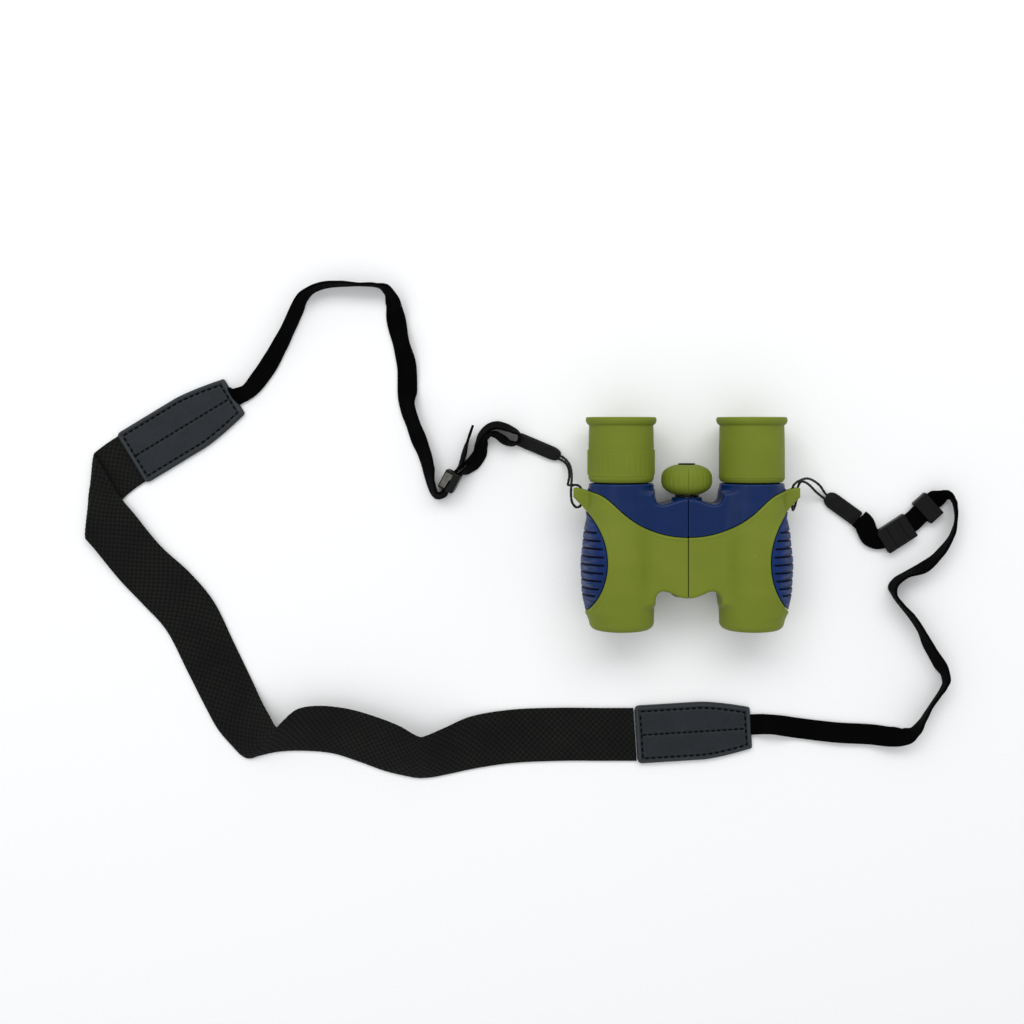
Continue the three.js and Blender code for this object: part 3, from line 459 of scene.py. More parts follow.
def leather(name, colour, light):
    """Grained leatherette: pebbles and creases, painted shade in the low creases between pebbles, and a paler turned
    edge that is a painted highlight.
    """
    n = Nodes(name)
    place = n.place()
    cells = n.add("ShaderNodeTexVoronoi", {"Vector": place, "Scale": 1250.0, "Randomness": 0.9},
                  feature="DISTANCE_TO_EDGE").outputs["Distance"]
    pebbles = n.spread(cells, 0.0, 0.22, 0, 1)
    creases = n.noise(place, 330, 4, 0.6)
    edge = n.add("ShaderNodeNewGeometry").outputs["Pointiness"]
    clouds = n.spread(n.noise(place, 120, 4), 0.3, 0.7, 0, 1)
    base = n.mix(clouds, linear(colour), linear([c * 1.14 for c in colour]))
    # Painted shade: darker in the low creases between the pebbles.
    painted_pit_shade = n.math("MULTIPLY", n.spread(pebbles, 0, 1, 1, 0), 0.45)
    base = n.mix(painted_pit_shade, base, linear([c * 0.6 for c in colour]))
    # Painted highlight: the light colour along the convex edges.
    base = n.mix(n.spread(edge, 0.505, 0.53, 0, 0.75), base, linear(light))
    height = n.math("ADD", pebbles, n.math("MULTIPLY", creases, 0.8))
    n.set(Base_Color=base, Roughness=n.spread(creases, 0.3, 0.7, 0.5, 0.66), Normal=n.bump(height, 0.00005),
          Specular_IOR_Level=0.18)
    return n.material


def metal(name, colour, roughness, metallic=1.0, brush=(40, 900, 900)):
    """Brushed metal with fine scratches and cloudy tarnish."""
    n = Nodes(name)
    place = n.place()
    lines = n.add("ShaderNodeMapping", {"Vector": place, "Scale": brush}).outputs["Vector"]
    scratch = n.noise(lines, 3.0, 4)
    tarnish = n.spread(n.noise(place, 400, 4), 0.35, 0.7, 0, 1)
    base = n.mix(tarnish, linear(colour), linear([c * 0.72 for c in colour]))
    n.set(Base_Color=base, Metallic=metallic,
          Roughness=n.spread(scratch, 0.3, 0.7, roughness, roughness + 0.18))
    n.set(Normal=n.bump(scratch, 0.00003))
    return n.material


def glass(name, tint, roughness=0.03):
    """Coated glass: clear, with a faint tint and a little dust."""
    n = Nodes(name)
    dust = n.noise(n.place(), 700, 4)
    base = n.mix(n.spread(dust, 0.55, 0.8, 0, 0.35), linear(tint), linear((225, 225, 225)))
    n.set(Base_Color=base, Roughness=n.spread(dust, 0.5, 0.85, roughness, roughness + 0.12))
    n.set(Transmission_Weight=0.92, IOR=1.52, Coat_Weight=0.6, Coat_Roughness=0.03,
          Coat_Tint=linear((150, 140, 235)))
    return n.material


GREEN = moulded("green_rubber", (111, 123, 33), (140, 158, 62), 0.56, 1900, 0.000012, edge_wear_and_highlight=0.15, cloud=0.06,
                Specular_IOR_Level=0.2)
CUP_GREEN = moulded("green_cup", (108, 121, 32), (138, 155, 58), 0.6, 2400, 0.00001, edge_wear_and_highlight=0.5, cloud=0.06,
                    Specular_IOR_Level=0.2)
NAVY = moulded("navy_plastic", (1, 32, 80), (30, 60, 118), 0.34, 2600, 0.000008, edge_wear_and_highlight=0.5, cloud=0.08,
               Specular_IOR_Level=0.2)
GRIP = grip_rubber("grip_rubber", (8, 34, 82), (134, 138, 142))
BLACK = moulded("black_plastic", (6, 6, 7), (34, 34, 35), 0.42, 2200, 0.00002, edge_wear_and_highlight=0.3, cloud=0.2,
                Specular_IOR_Level=0.18)
BAFFLE = moulded("matt_baffle", (10, 10, 11), (26, 26, 28), 0.82, 1500, 0.00005, edge_wear_and_highlight=0.2, cloud=0.2)
STEEL = metal("steel", (150, 151, 154), 0.28)
BRASS = metal("brass", (182, 146, 84), 0.3)
GLASS = glass("lens_glass", (215, 224, 232))
BAND = woven("band_webbing", (5, 6, 5), (28, 30, 26), 2.8, 2.8, 0.13)
WEBBING = woven("narrow_webbing", (1, 1, 1), (8, 8, 7), 1.0, 3.1, 0.03)
CORD = moulded("loop_cord", (5, 5, 6), (24, 24, 25), 0.5, 5200, 0.00005, edge_wear_and_highlight=0.4, cloud=0.3,
               Specular_IOR_Level=0.25)
LEATHER = leather("strap_leather", (34, 38, 42), (56, 60, 63))
THREAD = moulded("stitch_thread", (1, 1, 2), (10, 10, 11), 0.8, 4200, 0.00004, edge_wear_and_highlight=0.2, cloud=0.3,
                 Specular_IOR_Level=0.05)
TAB = leather("tab_leather", (2, 2, 2), (17, 17, 17))
BUCKLE_METAL = metal("buckle_metal", (104, 101, 94), 0.42, 0.35, (900, 60, 900))


# ------------------------------------------------------------------ mesh tools
def add_mesh(name, points, faces, material, body, replaces=(), slot=None, mirror=False, sharp=None,
             strap=None):
    """A piece from points in millimetres and faces of one length, with its normals facing out."""
    points = np.array(points, float)
    faces = np.array(faces)
    if mirror:
        points[:, 0] *= -1
    a, b, c = (points[faces[:, i]] for i in (0, 1, 2))
    volume = np.einsum("ij,ij->", a, np.cross(b, c))
    if faces.shape[1] == 4:
        volume += np.einsum("ij,ij->", a, np.cross(c, points[faces[:, 3]]))
    if volume < 0:
        faces = faces[:, ::-1]
    mesh = bpy.data.meshes.new(name)
    mesh.from_pydata((points * MM).tolist(), [], faces.tolist())
    mesh.polygons.foreach_set("use_smooth", np.ones(len(mesh.polygons), bool))
    if sharp:
        mesh.set_sharp_from_angle(angle=math.radians(sharp))
    if strap is not None:
        attribute = mesh.attributes.new("strap", "FLOAT_VECTOR", "POINT")
        attribute.data.foreach_set("vector", np.array(strap, np.float32).ravel())
    mesh.validate()
    mesh.materials.append(material)
    obj = bpy.data.objects.new(name, mesh)
    scene.collection.objects.link(obj)
    if body:
        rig.ride(obj, body)
    if replaces:
        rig.replaces(obj, *replaces)
    if slot:
        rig.slot(obj, slot)
    return obj


def join(parts):
    """Several (points, faces) lists with faces of one length, as one."""
    points, faces, count = [], [], 0
    for some_points, some_faces in parts:
        points.append(np.asarray(some_points))
        faces.append(np.asarray(some_faces) + count)
        count += len(some_points)
    return np.concatenate(points), np.concatenate(faces)


def grid_faces(rows, columns, closed=False):
    """Quads between rows of points; closed joins each row's end to its start."""
    i = np.arange(rows - 1)[:, None]
    j = np.arange(columns if closed else columns - 1)[None, :]
    k = (j + 1) % columns
    quads = np.stack(np.broadcast_arrays(i * columns + j, i * columns + k, (i + 1) * columns + k,
                                         (i + 1) * columns + j), -1)
    return quads.reshape(-1, 4)


def soften(points, radius, steps=3):
    """A closed outline with its corners rounded; points may carry their own radius."""
    points = [p if len(p) == 3 else (*p, radius) for p in points]
    result = []
    for i, (x, y, r) in enumerate(points):
        here = np.array((x, y))
        u = np.array(points[i - 1][:2]) - here
        v = np.array(points[(i + 1) % len(points)][:2]) - here
        room = min(np.linalg.norm(u), np.linalg.norm(v)) * 0.45
        cut = min(r, room)
        if cut < 0.01:
            result.append((x, y))
            continue
        start, end = here + u / np.linalg.norm(u) * cut, here + v / np.linalg.norm(v) * cut
        for t in np.linspace(0, 1, steps + 1):
            result.append(tuple((1 - t) ** 2 * start + 2 * t * (1 - t) * here + t * t * end))
    return result


def turned(profile, x, z, segments=72, radius_at=None):
    """A closed profile of [radius, y] turned about an axis along Y; radius_at(angle, radius, y) shapes it."""
    profile = np.array(profile, float)
    angle = np.linspace(0, 2 * math.pi, segments, endpoint=False)
    radius = np.repeat(profile[:, :1], segments, 1)
    y = np.repeat(profile[:, 1:], segments, 1)
    if radius_at:
        radius = radius_at(np.broadcast_to(angle, radius.shape), radius, y)
    points = np.stack([x + radius * np.cos(angle), y, z + radius * np.sin(angle)], -1).reshape(-1, 3)
    rows = len(profile)
    faces = grid_faces(rows, segments, closed=True)
    last = grid_faces(2, segments, closed=True)
    last = np.where(last >= segments, last - segments, last + (rows - 1) * segments)
    return points, np.concatenate([faces, last])


def turned_piece(name, profile, x, z, segments, material, body, node, slot, sharp, radius_at=None):
    points, faces = turned(profile, x, z, segments, radius_at)
    add_mesh(name, points, faces, material, body, [node], slot, sharp=sharp)


def closed_sheet(upper, lower):
    """Rings of points and the faces of a closed strip, from rows of points on its two faces."""
    ring = np.concatenate([upper, lower[:, ::-1]], axis=1)
    rows, count = ring.shape[:2]
    j = np.arange(count // 2 - 1)
    cap = np.stack([j, j + 1, count - 2 - j, count - 1 - j], 1)
    around = grid_faces(rows, count, closed=True)
    return ring, np.concatenate([around, cap[:, ::-1], cap + (rows - 1) * count])


# ------------------------------------------------------------------ moulded shells as distance fields
def round_cut(a, b, r):
    """Both fields at once, with the edge between them rounded."""
    return np.minimum(-r, np.maximum(a, b)) + np.hypot(np.maximum(r + a, 0), np.maximum(r + b, 0))


def round_join(a, b, r):
    """Either field, with a fillet between them."""
    return np.maximum(r, np.minimum(a, b)) - np.hypot(np.maximum(r - a, 0), np.maximum(r - b, 0))


def slab(value, low, high):
    return np.maximum(low - value, value - high)


def bezier(*controls, steps=12):
    """Points of a Bezier curve after its first one."""
    t = np.linspace(0, 1, steps + 1)[1:, None]
    last = len(controls) - 1
    weights = [math.comb(last, k) * t ** k * (1 - t) ** (last - k) for k in range(last + 1)]
    return sum(weight * np.array(control, float) for weight, control in zip(weights, controls)).tolist()


class Plan:
    """Signed distance to a closed outline in X and Y, from a table; negative inside."""
    STEP = 0.2
    LOW = (-10.0, -66.0)
    HIGH = (62.0, 34.0)

    def __init__(self, outline):
        x = np.arange(self.LOW[0], self.HIGH[0], self.STEP)[:, None]
        y = np.arange(self.LOW[1], self.HIGH[1], self.STEP)[None, :]
        best = np.full((x.size, y.size), 1e9)
        inside = np.zeros(best.shape, bool)
        for (ax, ay), (bx, by) in zip(outline, outline[1:] + outline[:1]):
            ex, ey = bx - ax, by - ay
            if ex == ey == 0:
                continue
            t = np.clip(((x - ax) * ex + (y - ay) * ey) / (ex * ex + ey * ey), 0, 1)
            best = np.minimum(best, (x - ax - t * ex) ** 2 + (y - ay - t * ey) ** 2)
            if ey:
                inside ^= ((ay > y) != (by > y)) & (x < ax + (y - ay) / ey * ex)
        self.table = np.where(inside, -1, 1) * np.sqrt(best)

    def __call__(self, x, y):
        u = np.clip((x - self.LOW[0]) / self.STEP, 0, self.table.shape[0] - 1.001)
        v = np.clip((y - self.LOW[1]) / self.STEP, 0, self.table.shape[1] - 1.001)
        i, j = u.astype(int), v.astype(int)
        s, t = u - i, v - j
        table = self.table
        return ((table[i, j] * (1 - s) + table[i + 1, j] * s) * (1 - t)
                + (table[i, j + 1] * (1 - s) + table[i + 1, j + 1] * s) * t)


BRIDGE_PLAN = Plan([(-2, 12.45), (0.5, 12.45)] + bezier((0.5, 12.45), (5, 12.45), (8.5, 9.75), (12, 9.75))
                   + bezier((12, 9.75), (15.4, 9.75), (15.6, 15)) + [(22, 15), (22, -36), (15.2, -36)]
                   + bezier((15.2, -36), (14.9, -29.9), (11.4, -29.6))
                   + bezier((11.4, -29.6), (8, -29.6), (6, -32.4), (0.8, -32.9)) + [(-2, -32.9)])
LUG_PLAN = Plan([(36, 11), (41.5, 14.6)] + bezier((41.5, 14.6), (46, 16.3), (51.9, 16.6)) + [(51.9, 12.4)]
                + bezier((51.9, 12.4), (47.6, 9.4), (45.4, 4.2)) + [(36, 2)])
ARMOUR_PLAN = Plan([(-9, -65), (-9, -5.4), (0, -5.4)]
                   + bezier((0, -5.4), (12, -5.3), (21, -1.5), (29.5, 5.7), steps=20)
                   + bezier((29.5, 5.7), (35, 10.6), (38, 14.4), (45, 15.2), steps=20)
                   + [(51, 18), (61, 18), (61, -65)])


def section_table():
    """The barrel's sections at even steps along Y, eased from one to the next."""
    y = np.linspace(-50, 20, 281)
    columns = []
    place = np.clip(np.searchsorted(SECTIONS[:, 0], y), 1, len(SECTIONS) - 1)
    a, b = SECTIONS[place - 1], SECTIONS[place]
    t = np.clip((y - a[:, 0]) / (b[:, 0] - a[:, 0]), 0, 1)
    t = (t ** 3 * (t * (t * 6 - 15) + 10)) * 0.3 + t * 0.7
    for column in range(1, 6):
        columns.append(a[:, column] + (b[:, column] - a[:, column]) * t)
    return y, columns


SECTION_Y, SECTION_COLUMNS = section_table()


def form(x, y, z):
    """Signed distance to the outer form of the +X half."""
    inner, outer, up, down, power = (np.interp(y, SECTION_Y, column) for column in SECTION_COLUMNS)
    across, above = x - AXIS_X, z - AXIS_Z
    half_width = np.where(across > 0, outer, inner)
    half_height = np.where(above > 0, up, down)
    ratio = ((np.abs(across) / half_width) ** power + (np.abs(above) / half_height) ** power) ** (1 / power)
    barrel = np.hypot(across, above) * (1 - 1 / np.maximum(ratio, 1e-6))
    barrel = round_cut(barrel, FRONT_Y - y, END_ROUND)
    barrel = round_cut(barrel, y - NECK_TOP_Y, 0.7)
    reach = np.clip(x / 22, 0, 1)
    bridge = round_cut(BRIDGE_PLAN(x, y), slab(z, BRIDGE_LOW - 0.9 * reach, BRIDGE_HIGH + 0.9 * reach), 1.5)
    lug = round_cut(LUG_PLAN(x, y), np.abs(z - AXIS_Z) - 3.2, 1.1)
    body = round_join(round_join(barrel, bridge, 2.6), lug, 1.6)
    return round_cut(body, -z, 0.5)


def hinge_cuts(body, x, z, lip):
    """Takes away the other side of the seam, the fold's wedge and the hinge's barrel."""
    body = round_cut(body, SEAM_X - x, lip)
    wedge = x * math.cos(FOLD_HALF_ANGLE) - (HINGE_Z - z) * math.sin(FOLD_HALF_ANGLE)
    body = np.maximum(body, -wedge)
    return np.maximum(body, HINGE_CUT - np.hypot(x, z - HINGE_Z))


def eyelet(x, z):
    """The hole through the lug that the loop cord runs in."""
    return np.hypot(x - EYELET_X, z - AXIS_Z) - EYELET_RADIUS


def from_grip_border(x, y):
    """Distance to the thumb grip's border, negative on the grip."""
    return np.hypot(x - GRIP_ARC[0], y - GRIP_ARC[1]) - GRIP_ARC[2]


def armour_field(x, y, z):
    """The green overmould of one half, with a soft bead along its edges."""
    outside = form(x, y, z)
    region = np.maximum(ARMOUR_PLAN(x, y), GAP / 2 - from_grip_border(x, y))
    bead = 0.26 * np.exp(-(((-region - 0.75) / 0.5) ** 2))
    shell = round_cut(outside - bead, region, 0.45)
    cavity = np.maximum(outside + SKIN, HOUSING_FRONT_Y - GAP - y)
    shell = np.maximum(shell, -cavity)
    shell = hinge_cuts(shell, x, z, 0.12)
    mouth = np.maximum(np.hypot(x - AXIS_X, z - AXIS_Z) - MOUTH_RADIUS, y + 40)
    shell = round_cut(shell, -mouth, 0.5)
    return np.maximum(shell, -eyelet(x, z))


def groove_depth(x, y):
    """1 in the middle of a groove of the thumb grip, fading to 0 between them and at the border."""
    inside = -from_grip_border(x, y) - GAP / 2
    cut = sum(np.exp(-(((y - groove) / 0.4) ** 4)) for groove in GROOVES)
    return cut * np.clip((inside - 0.9) / 0.8, 0, 1)


def grip_field(x, y, z):
    """The ribbed thumb grip of one half."""
    outside = form(x, y, z)
    region = from_grip_border(x, y) + GAP / 2
    depth = 0.85 * groove_depth(x, y)
    crown = 0.28 * np.clip(-region / 4, 0, 1)
    shell = round_cut(outside + depth - crown + 0.15, region, 0.5)
    return np.maximum(shell, -(outside + SKIN))


def housing_field(knuckles, window):
    """The navy housing of one half: a shell with hinge knuckles and a slot for the focus arm."""
    def field(x, y, z):
        outside = form(x, y, z)
        plain = np.minimum(outside + SKIN + GAP, round_cut(outside + 0.12, GAP - ARMOUR_PLAN(x, y), 0.3))
        body = np.maximum(plain, HOUSING_FRONT_Y - y)
        body = hinge_cuts(body, x, z, 0.35)
        axis = np.hypot(x - AXIS_X, z - AXIS_Z)
        body = np.maximum(body, -np.maximum(axis - BORE_RADIUS, y + 10.1))
        body = np.maximum(body, -np.maximum(axis - PRISM_BORE_RADIUS, -10.2 - y))
        body = np.maximum(body, -eyelet(x, z))
        hinge = np.hypot(x, z - HINGE_Z)
        for start, end, _ in knuckles:
            span = slab(y, start, end)
            start_x, end_x, half = KNUCKLE_WEB
            web = np.maximum(slab(x, start_x, end_x), slab(z, HINGE_Z - half, HINGE_Z + half))
            web = np.maximum(np.maximum(web, span), plain)
            body = np.minimum(body, np.minimum(web, round_cut(hinge - KNUCKLE_RADIUS, span, 0.25)))
        for start, end, bore in knuckles:
            body = np.maximum(body, -np.maximum(hinge - bore, slab(y, start - 0.5, end + 0.5)))
        middle = ARM_SLOT_Y if window else PIN_MIDDLE_Y
        long, high = ARM_SLOT_HALF
        slot = np.maximum(np.abs(y - middle) - long, np.abs(z - HINGE_Z) - high)
        slot = np.maximum(slab(x, 1, 21), slot)
        body = np.maximum(body, -slot)
        if window:
            start, end = (x * math.sin(math.radians(turn)) + (z - HINGE_Z) * math.cos(math.radians(turn))
                          for turn in ARM_WINDOW)
            sweep = np.maximum(end, -start)
            length = np.maximum(hinge - 9, np.abs(y - PIN_MIDDLE_Y) - long)
            body = np.maximum(body, -np.maximum(sweep, length))
        return body
    return field


CORNERS = np.array([(i, j, k) for i in (0, 1) for j in (0, 1) for k in (0, 1)])
CELL_EDGES = [(a, b) for a in range(8) for b in range(a + 1, 8) if abs(CORNERS[a] - CORNERS[b]).sum() == 1]


def surface_net(field, low, high, step):
    """Closed mesh of the surface where field is zero, with its points moved onto that surface."""
    low = np.array(low, float)
    counts = np.ceil((np.array(high) - low) / step).astype(int) + 1
    x, y, z = (low[i] + step * np.arange(counts[i]) for i in range(3))
    values = field(x[:, None, None], y[None, :, None], z[None, None, :])
    values = np.broadcast_to(values, counts)
    inside = values < 0
    cells = counts - 1
    filled = np.zeros(cells, np.uint8)
    for i, j, k in CORNERS:
        filled += inside[i:i + cells[0], j:j + cells[1], k:k + cells[2]]
    active = (filled > 0) & (filled < 8)
    ids = np.argwhere(active)
    number = np.full(cells, -1)
    number[active] = np.arange(len(ids))
    at_corners = np.stack([values[tuple((ids + corner).T)] for corner in CORNERS], 1)
    total, hits = np.zeros((len(ids), 3)), np.zeros(len(ids))
    for a, b in CELL_EDGES:
        va, vb = at_corners[:, a], at_corners[:, b]
        crosses = (va < 0) != (vb < 0)
        t = np.where(crosses, va / np.where(crosses, va - vb, 1), 0)
        total += (CORNERS[a] + t[:, None] * (CORNERS[b] - CORNERS[a])) * crosses[:, None]
        hits += crosses
    points = low + step * (ids + total / hits[:, None])
    faces = []
    for axis in range(3):
        u, v = (axis + 1) % 3, (axis + 2) % 3
        near = [slice(None)] * 3
        near[axis], near[u], near[v] = slice(0, -1), slice(1, -1), slice(1, -1)
        far = list(near)
        far[axis] = slice(1, None)
        change = np.argwhere(inside[tuple(near)] != inside[tuple(far)])
        quad = []
        for du, dv in ((0, 0), (1, 0), (1, 1), (0, 1)):
            cell = change.copy()
            cell[:, u] += du
            cell[:, v] += dv
            quad.append(number[tuple(cell.T)])
        quad = np.stack(quad, 1)
        start = change.copy()
        start[:, u] += 1
        start[:, v] += 1
        backwards = ~inside[tuple(start.T)]
        quad[backwards] = quad[backwards][:, ::-1]
        faces.append(quad)
    moved = points
    for _ in range(2):
        base = field(*moved.T)
        slope = np.stack([field(*(moved + 0.04 * np.eye(3)[i]).T) - base for i in range(3)], 1) / 0.04
        shift = slope * (base / np.maximum((slope ** 2).sum(1), 0.2))[:, None]
        moved = moved - np.clip(shift, -0.4 * step, 0.4 * step)
    settled = np.abs(field(*moved.T)) < 0.15 * step
    points = np.where(settled[:, None], moved, points)
    faces = np.concatenate(faces)
    start, end = np.concatenate([faces[:, [i, (i + 1) % 4]] for i in range(4)]).T
    near = np.maximum(np.bincount(start, minlength=len(points)), 1)
    middle = np.stack([np.bincount(start, points[end, i], len(points)) for i in range(3)], 1) / near[:, None]
    gap = np.linalg.norm(points - middle, axis=1)
    around = np.bincount(start, gap[end], len(points)) / near
    spikes = (gap > 0.3 * step) & (gap > 2.6 * around)
    points = np.where(spikes[:, None], middle, points)
    return points, faces


# ------------------------------------------------------------------ curves and straps
def along_route(route, step):
    """Points, headings and tilts at even steps of a centripetal Catmull-Rom curve through the route."""
    route = np.array(route, float)
    points = route[:, :3]
    ends = np.vstack([2 * points[0] - points[1], points, 2 * points[-1] - points[-2]])
    fine, tilt = [], []
    for i in range(len(points) - 1):
        p0, p1, p2, p3 = ends[i:i + 4]
        d0, d1, d2 = (max(np.linalg.norm(step_on), 1e-6) ** 0.5 for step_on in (p1 - p0, p2 - p1, p3 - p2))
        m1 = ((p1 - p0) / d0 - (p2 - p0) / (d0 + d1) + (p2 - p1) / d1) * d1
        m2 = ((p2 - p1) / d1 - (p3 - p1) / (d1 + d2) + (p3 - p2) / d2) * d1
        t = np.linspace(0, 1, 24, endpoint=i == len(points) - 2)[:, None]
        square, cube = -3 * p1 + 3 * p2 - 2 * m1 - m2, 2 * p1 - 2 * p2 + m1 + m2
        fine.append(p1 + m1 * t + square * t ** 2 + cube * t ** 3)
        if route.shape[1] > 3:
            ease = t[:, 0] * t[:, 0] * (3 - 2 * t[:, 0])
            tilt.append(route[i, 3] + (route[i + 1, 3] - route[i, 3]) * ease)
    fine = np.concatenate(fine)
    length = np.concatenate([[0], np.cumsum(np.linalg.norm(np.diff(fine, axis=0), axis=1))])
    even = np.linspace(0, length[-1], max(3, int(round(length[-1] / step)) + 1))
    place = np.stack([np.interp(even, length, fine[:, i]) for i in range(3)], 1)
    heading = np.gradient(place, even, axis=0)
    heading /= np.linalg.norm(heading, axis=1)[:, None]
    angle = np.radians(np.interp(even, length, np.concatenate(tilt))) if tilt else np.zeros(len(even))
    return even, place, heading, angle


def route_grid(route, width, thickness, step, columns):
    """The middle surface of a flat strap: rows of points across it, at even steps along the route."""
    along, place, heading, tilt = along_route(route, step)
    level = np.stack([heading[:, 1], -heading[:, 0], np.zeros(len(heading))], 1)
    level /= np.linalg.norm(level, axis=1)[:, None]
    lift = np.cross(level, heading)
    across = level * np.cos(tilt)[:, None] + lift * np.sin(tilt)[:, None]
    lowest = width / 2 * np.abs(np.sin(tilt)) + thickness / 2 + TABLE_GAP
    place[:, 2] = np.maximum(place[:, 2], lowest)
    offset = np.linspace(-width / 2, width / 2, columns + 1)
    grid = place[:, None, :] + across[:, None, :] * offset[None, :, None]
    return along, offset, grid, place


def sheet_mesh(along, offset, grid, thickness, weave):
    """A closed strap from its middle surface; weave(along, across) lifts the yarns on both faces."""
    normal = np.cross(np.gradient(grid, axis=0), np.gradient(grid, axis=1))
    normal /= np.maximum(np.linalg.norm(normal, axis=2), 1e-9)[:, :, None]
    edge = np.abs(offset) / np.abs(offset).max()
    half = thickness / 2 * (1 - 0.55 * edge ** 14)
    s, u = np.meshgrid(along, offset, indexing="ij")
    top = grid + normal * (half[None, :] + weave(s, u))[:, :, None]
    bottom = grid - normal * (half[None, :] + weave(s + 0.7, u))[:, :, None]
    ring, faces = closed_sheet(top, bottom)
    there_and_back = [np.concatenate([values, values[:, ::-1]], 1) for values in (s, u)]
    strap = np.stack([*there_and_back, np.zeros(ring.shape[:2])], -1)
    return ring.reshape(-1, 3), faces, strap.reshape(-1, 3)


def basket(pitch, height):
    """Yarns that pass over and under each other, one to each step of the grid."""
    def weave(s, u):
        return height * np.sin(math.pi * s / pitch) * np.sin(math.pi * u / pitch)
    return weave


def ribs(pitch, height):
    """Fine ribs across a narrow strap, broken along its middle."""
    def weave(s, u):
        return height * np.sin(2 * math.pi * s / pitch + math.pi * (np.abs(u) > 1.6))
    return weave


def strap_piece(name, route, width, thickness, height, node, columns):
    """A narrow woven strap on edge or flat along its route, with its path and length in metres."""
    along, offset, grid, place = route_grid(route, width, thickness, STRAP_STEP, columns)
    points, faces, strap = sheet_mesh(along, offset, grid, thickness - 0.1, ribs(1.0, height))
    obj = add_mesh(name, points, faces, WEBBING, "right_half", [node], "strap_webbing", strap=strap)
    return obj, (place * MM).tolist(), along[-1] * MM


def tube(route, radius_at, step=0.5, sides=10):
    """A cord of round section whose ends are drawn together."""
    along, place, heading, _ = along_route(route, step)
    side = np.cross(heading, (0.31, 0.17, 0.93))
    side /= np.linalg.norm(side, axis=1)[:, None]
    other = np.cross(heading, side)
    angle = np.linspace(0, 2 * math.pi, sides, endpoint=False)
    radius = radius_at(along[:, None], angle[None, :])
    points = place[:, None, :] + radius[..., None] * (side[:, None, :] * np.cos(angle)[None, :, None]
                                                      + other[:, None, :] * np.sin(angle)[None, :, None])
    points = points.reshape(-1, 3)
    faces = grid_faces(len(along), sides, closed=True)
    j = np.arange(1, sides // 2)
    cap = np.stack([j - 1, j, sides - 1 - j, sides - j], 1)
    caps = [cap, cap[:, ::-1] + (len(along) - 1) * sides]
    return points, np.concatenate([faces, *caps]), place, along[-1]


# ------------------------------------------------------------------ pieces of the strap
def placed(points, origin, degrees):
    """Local points, with X along the piece, set down at origin and turned."""
    points = np.array(points, float)
    c, s = math.cos(math.radians(degrees)), math.sin(math.radians(degrees))
    x, y = points[:, 0], points[:, 1]
    return np.stack([origin[0] + x * c - y * s, origin[1] + x * s + y * c, points[:, 2]], 1)


def pad_mesh(length, half_width, top, bottom, step, columns):
    """A flat closed piece along X, as wide as half_width(x), between top and bottom(x, y, edge distance)."""
    s = np.arange(0, length + step / 2, step)
    s[-1] = length
    s[0] += 0.01
    s[-1] -= 0.01
    v = np.sin(np.linspace(-math.pi / 2, math.pi / 2, columns + 1) * 0.9) / math.sin(math.pi * 0.45)
    width = half_width(s)
    x = np.repeat(s[:, None], columns + 1, 1)
    y = width[:, None] * v[None, :]
    edge = np.minimum(np.minimum(x, length - x), (1 - np.abs(v))[None, :] * width[:, None])
    upper = np.stack([x, y, top(x, y, edge)], -1)
    lower = np.stack([x, y, bottom(x, y, edge)], -1)
    ring, faces = closed_sheet(upper, lower)
    strap = np.concatenate([ring[..., :2], np.zeros((*ring.shape[:2], 1))], -1)
    return ring.reshape(-1, 3), faces, strap.reshape(-1, 3)


def rolled(edge, reach):
    """Height from 0 at an edge to 1 beyond reach, as a rounded border."""
    t = np.clip(edge / reach, 0, 1)
    return np.sqrt(1 - (1 - t) ** 2)


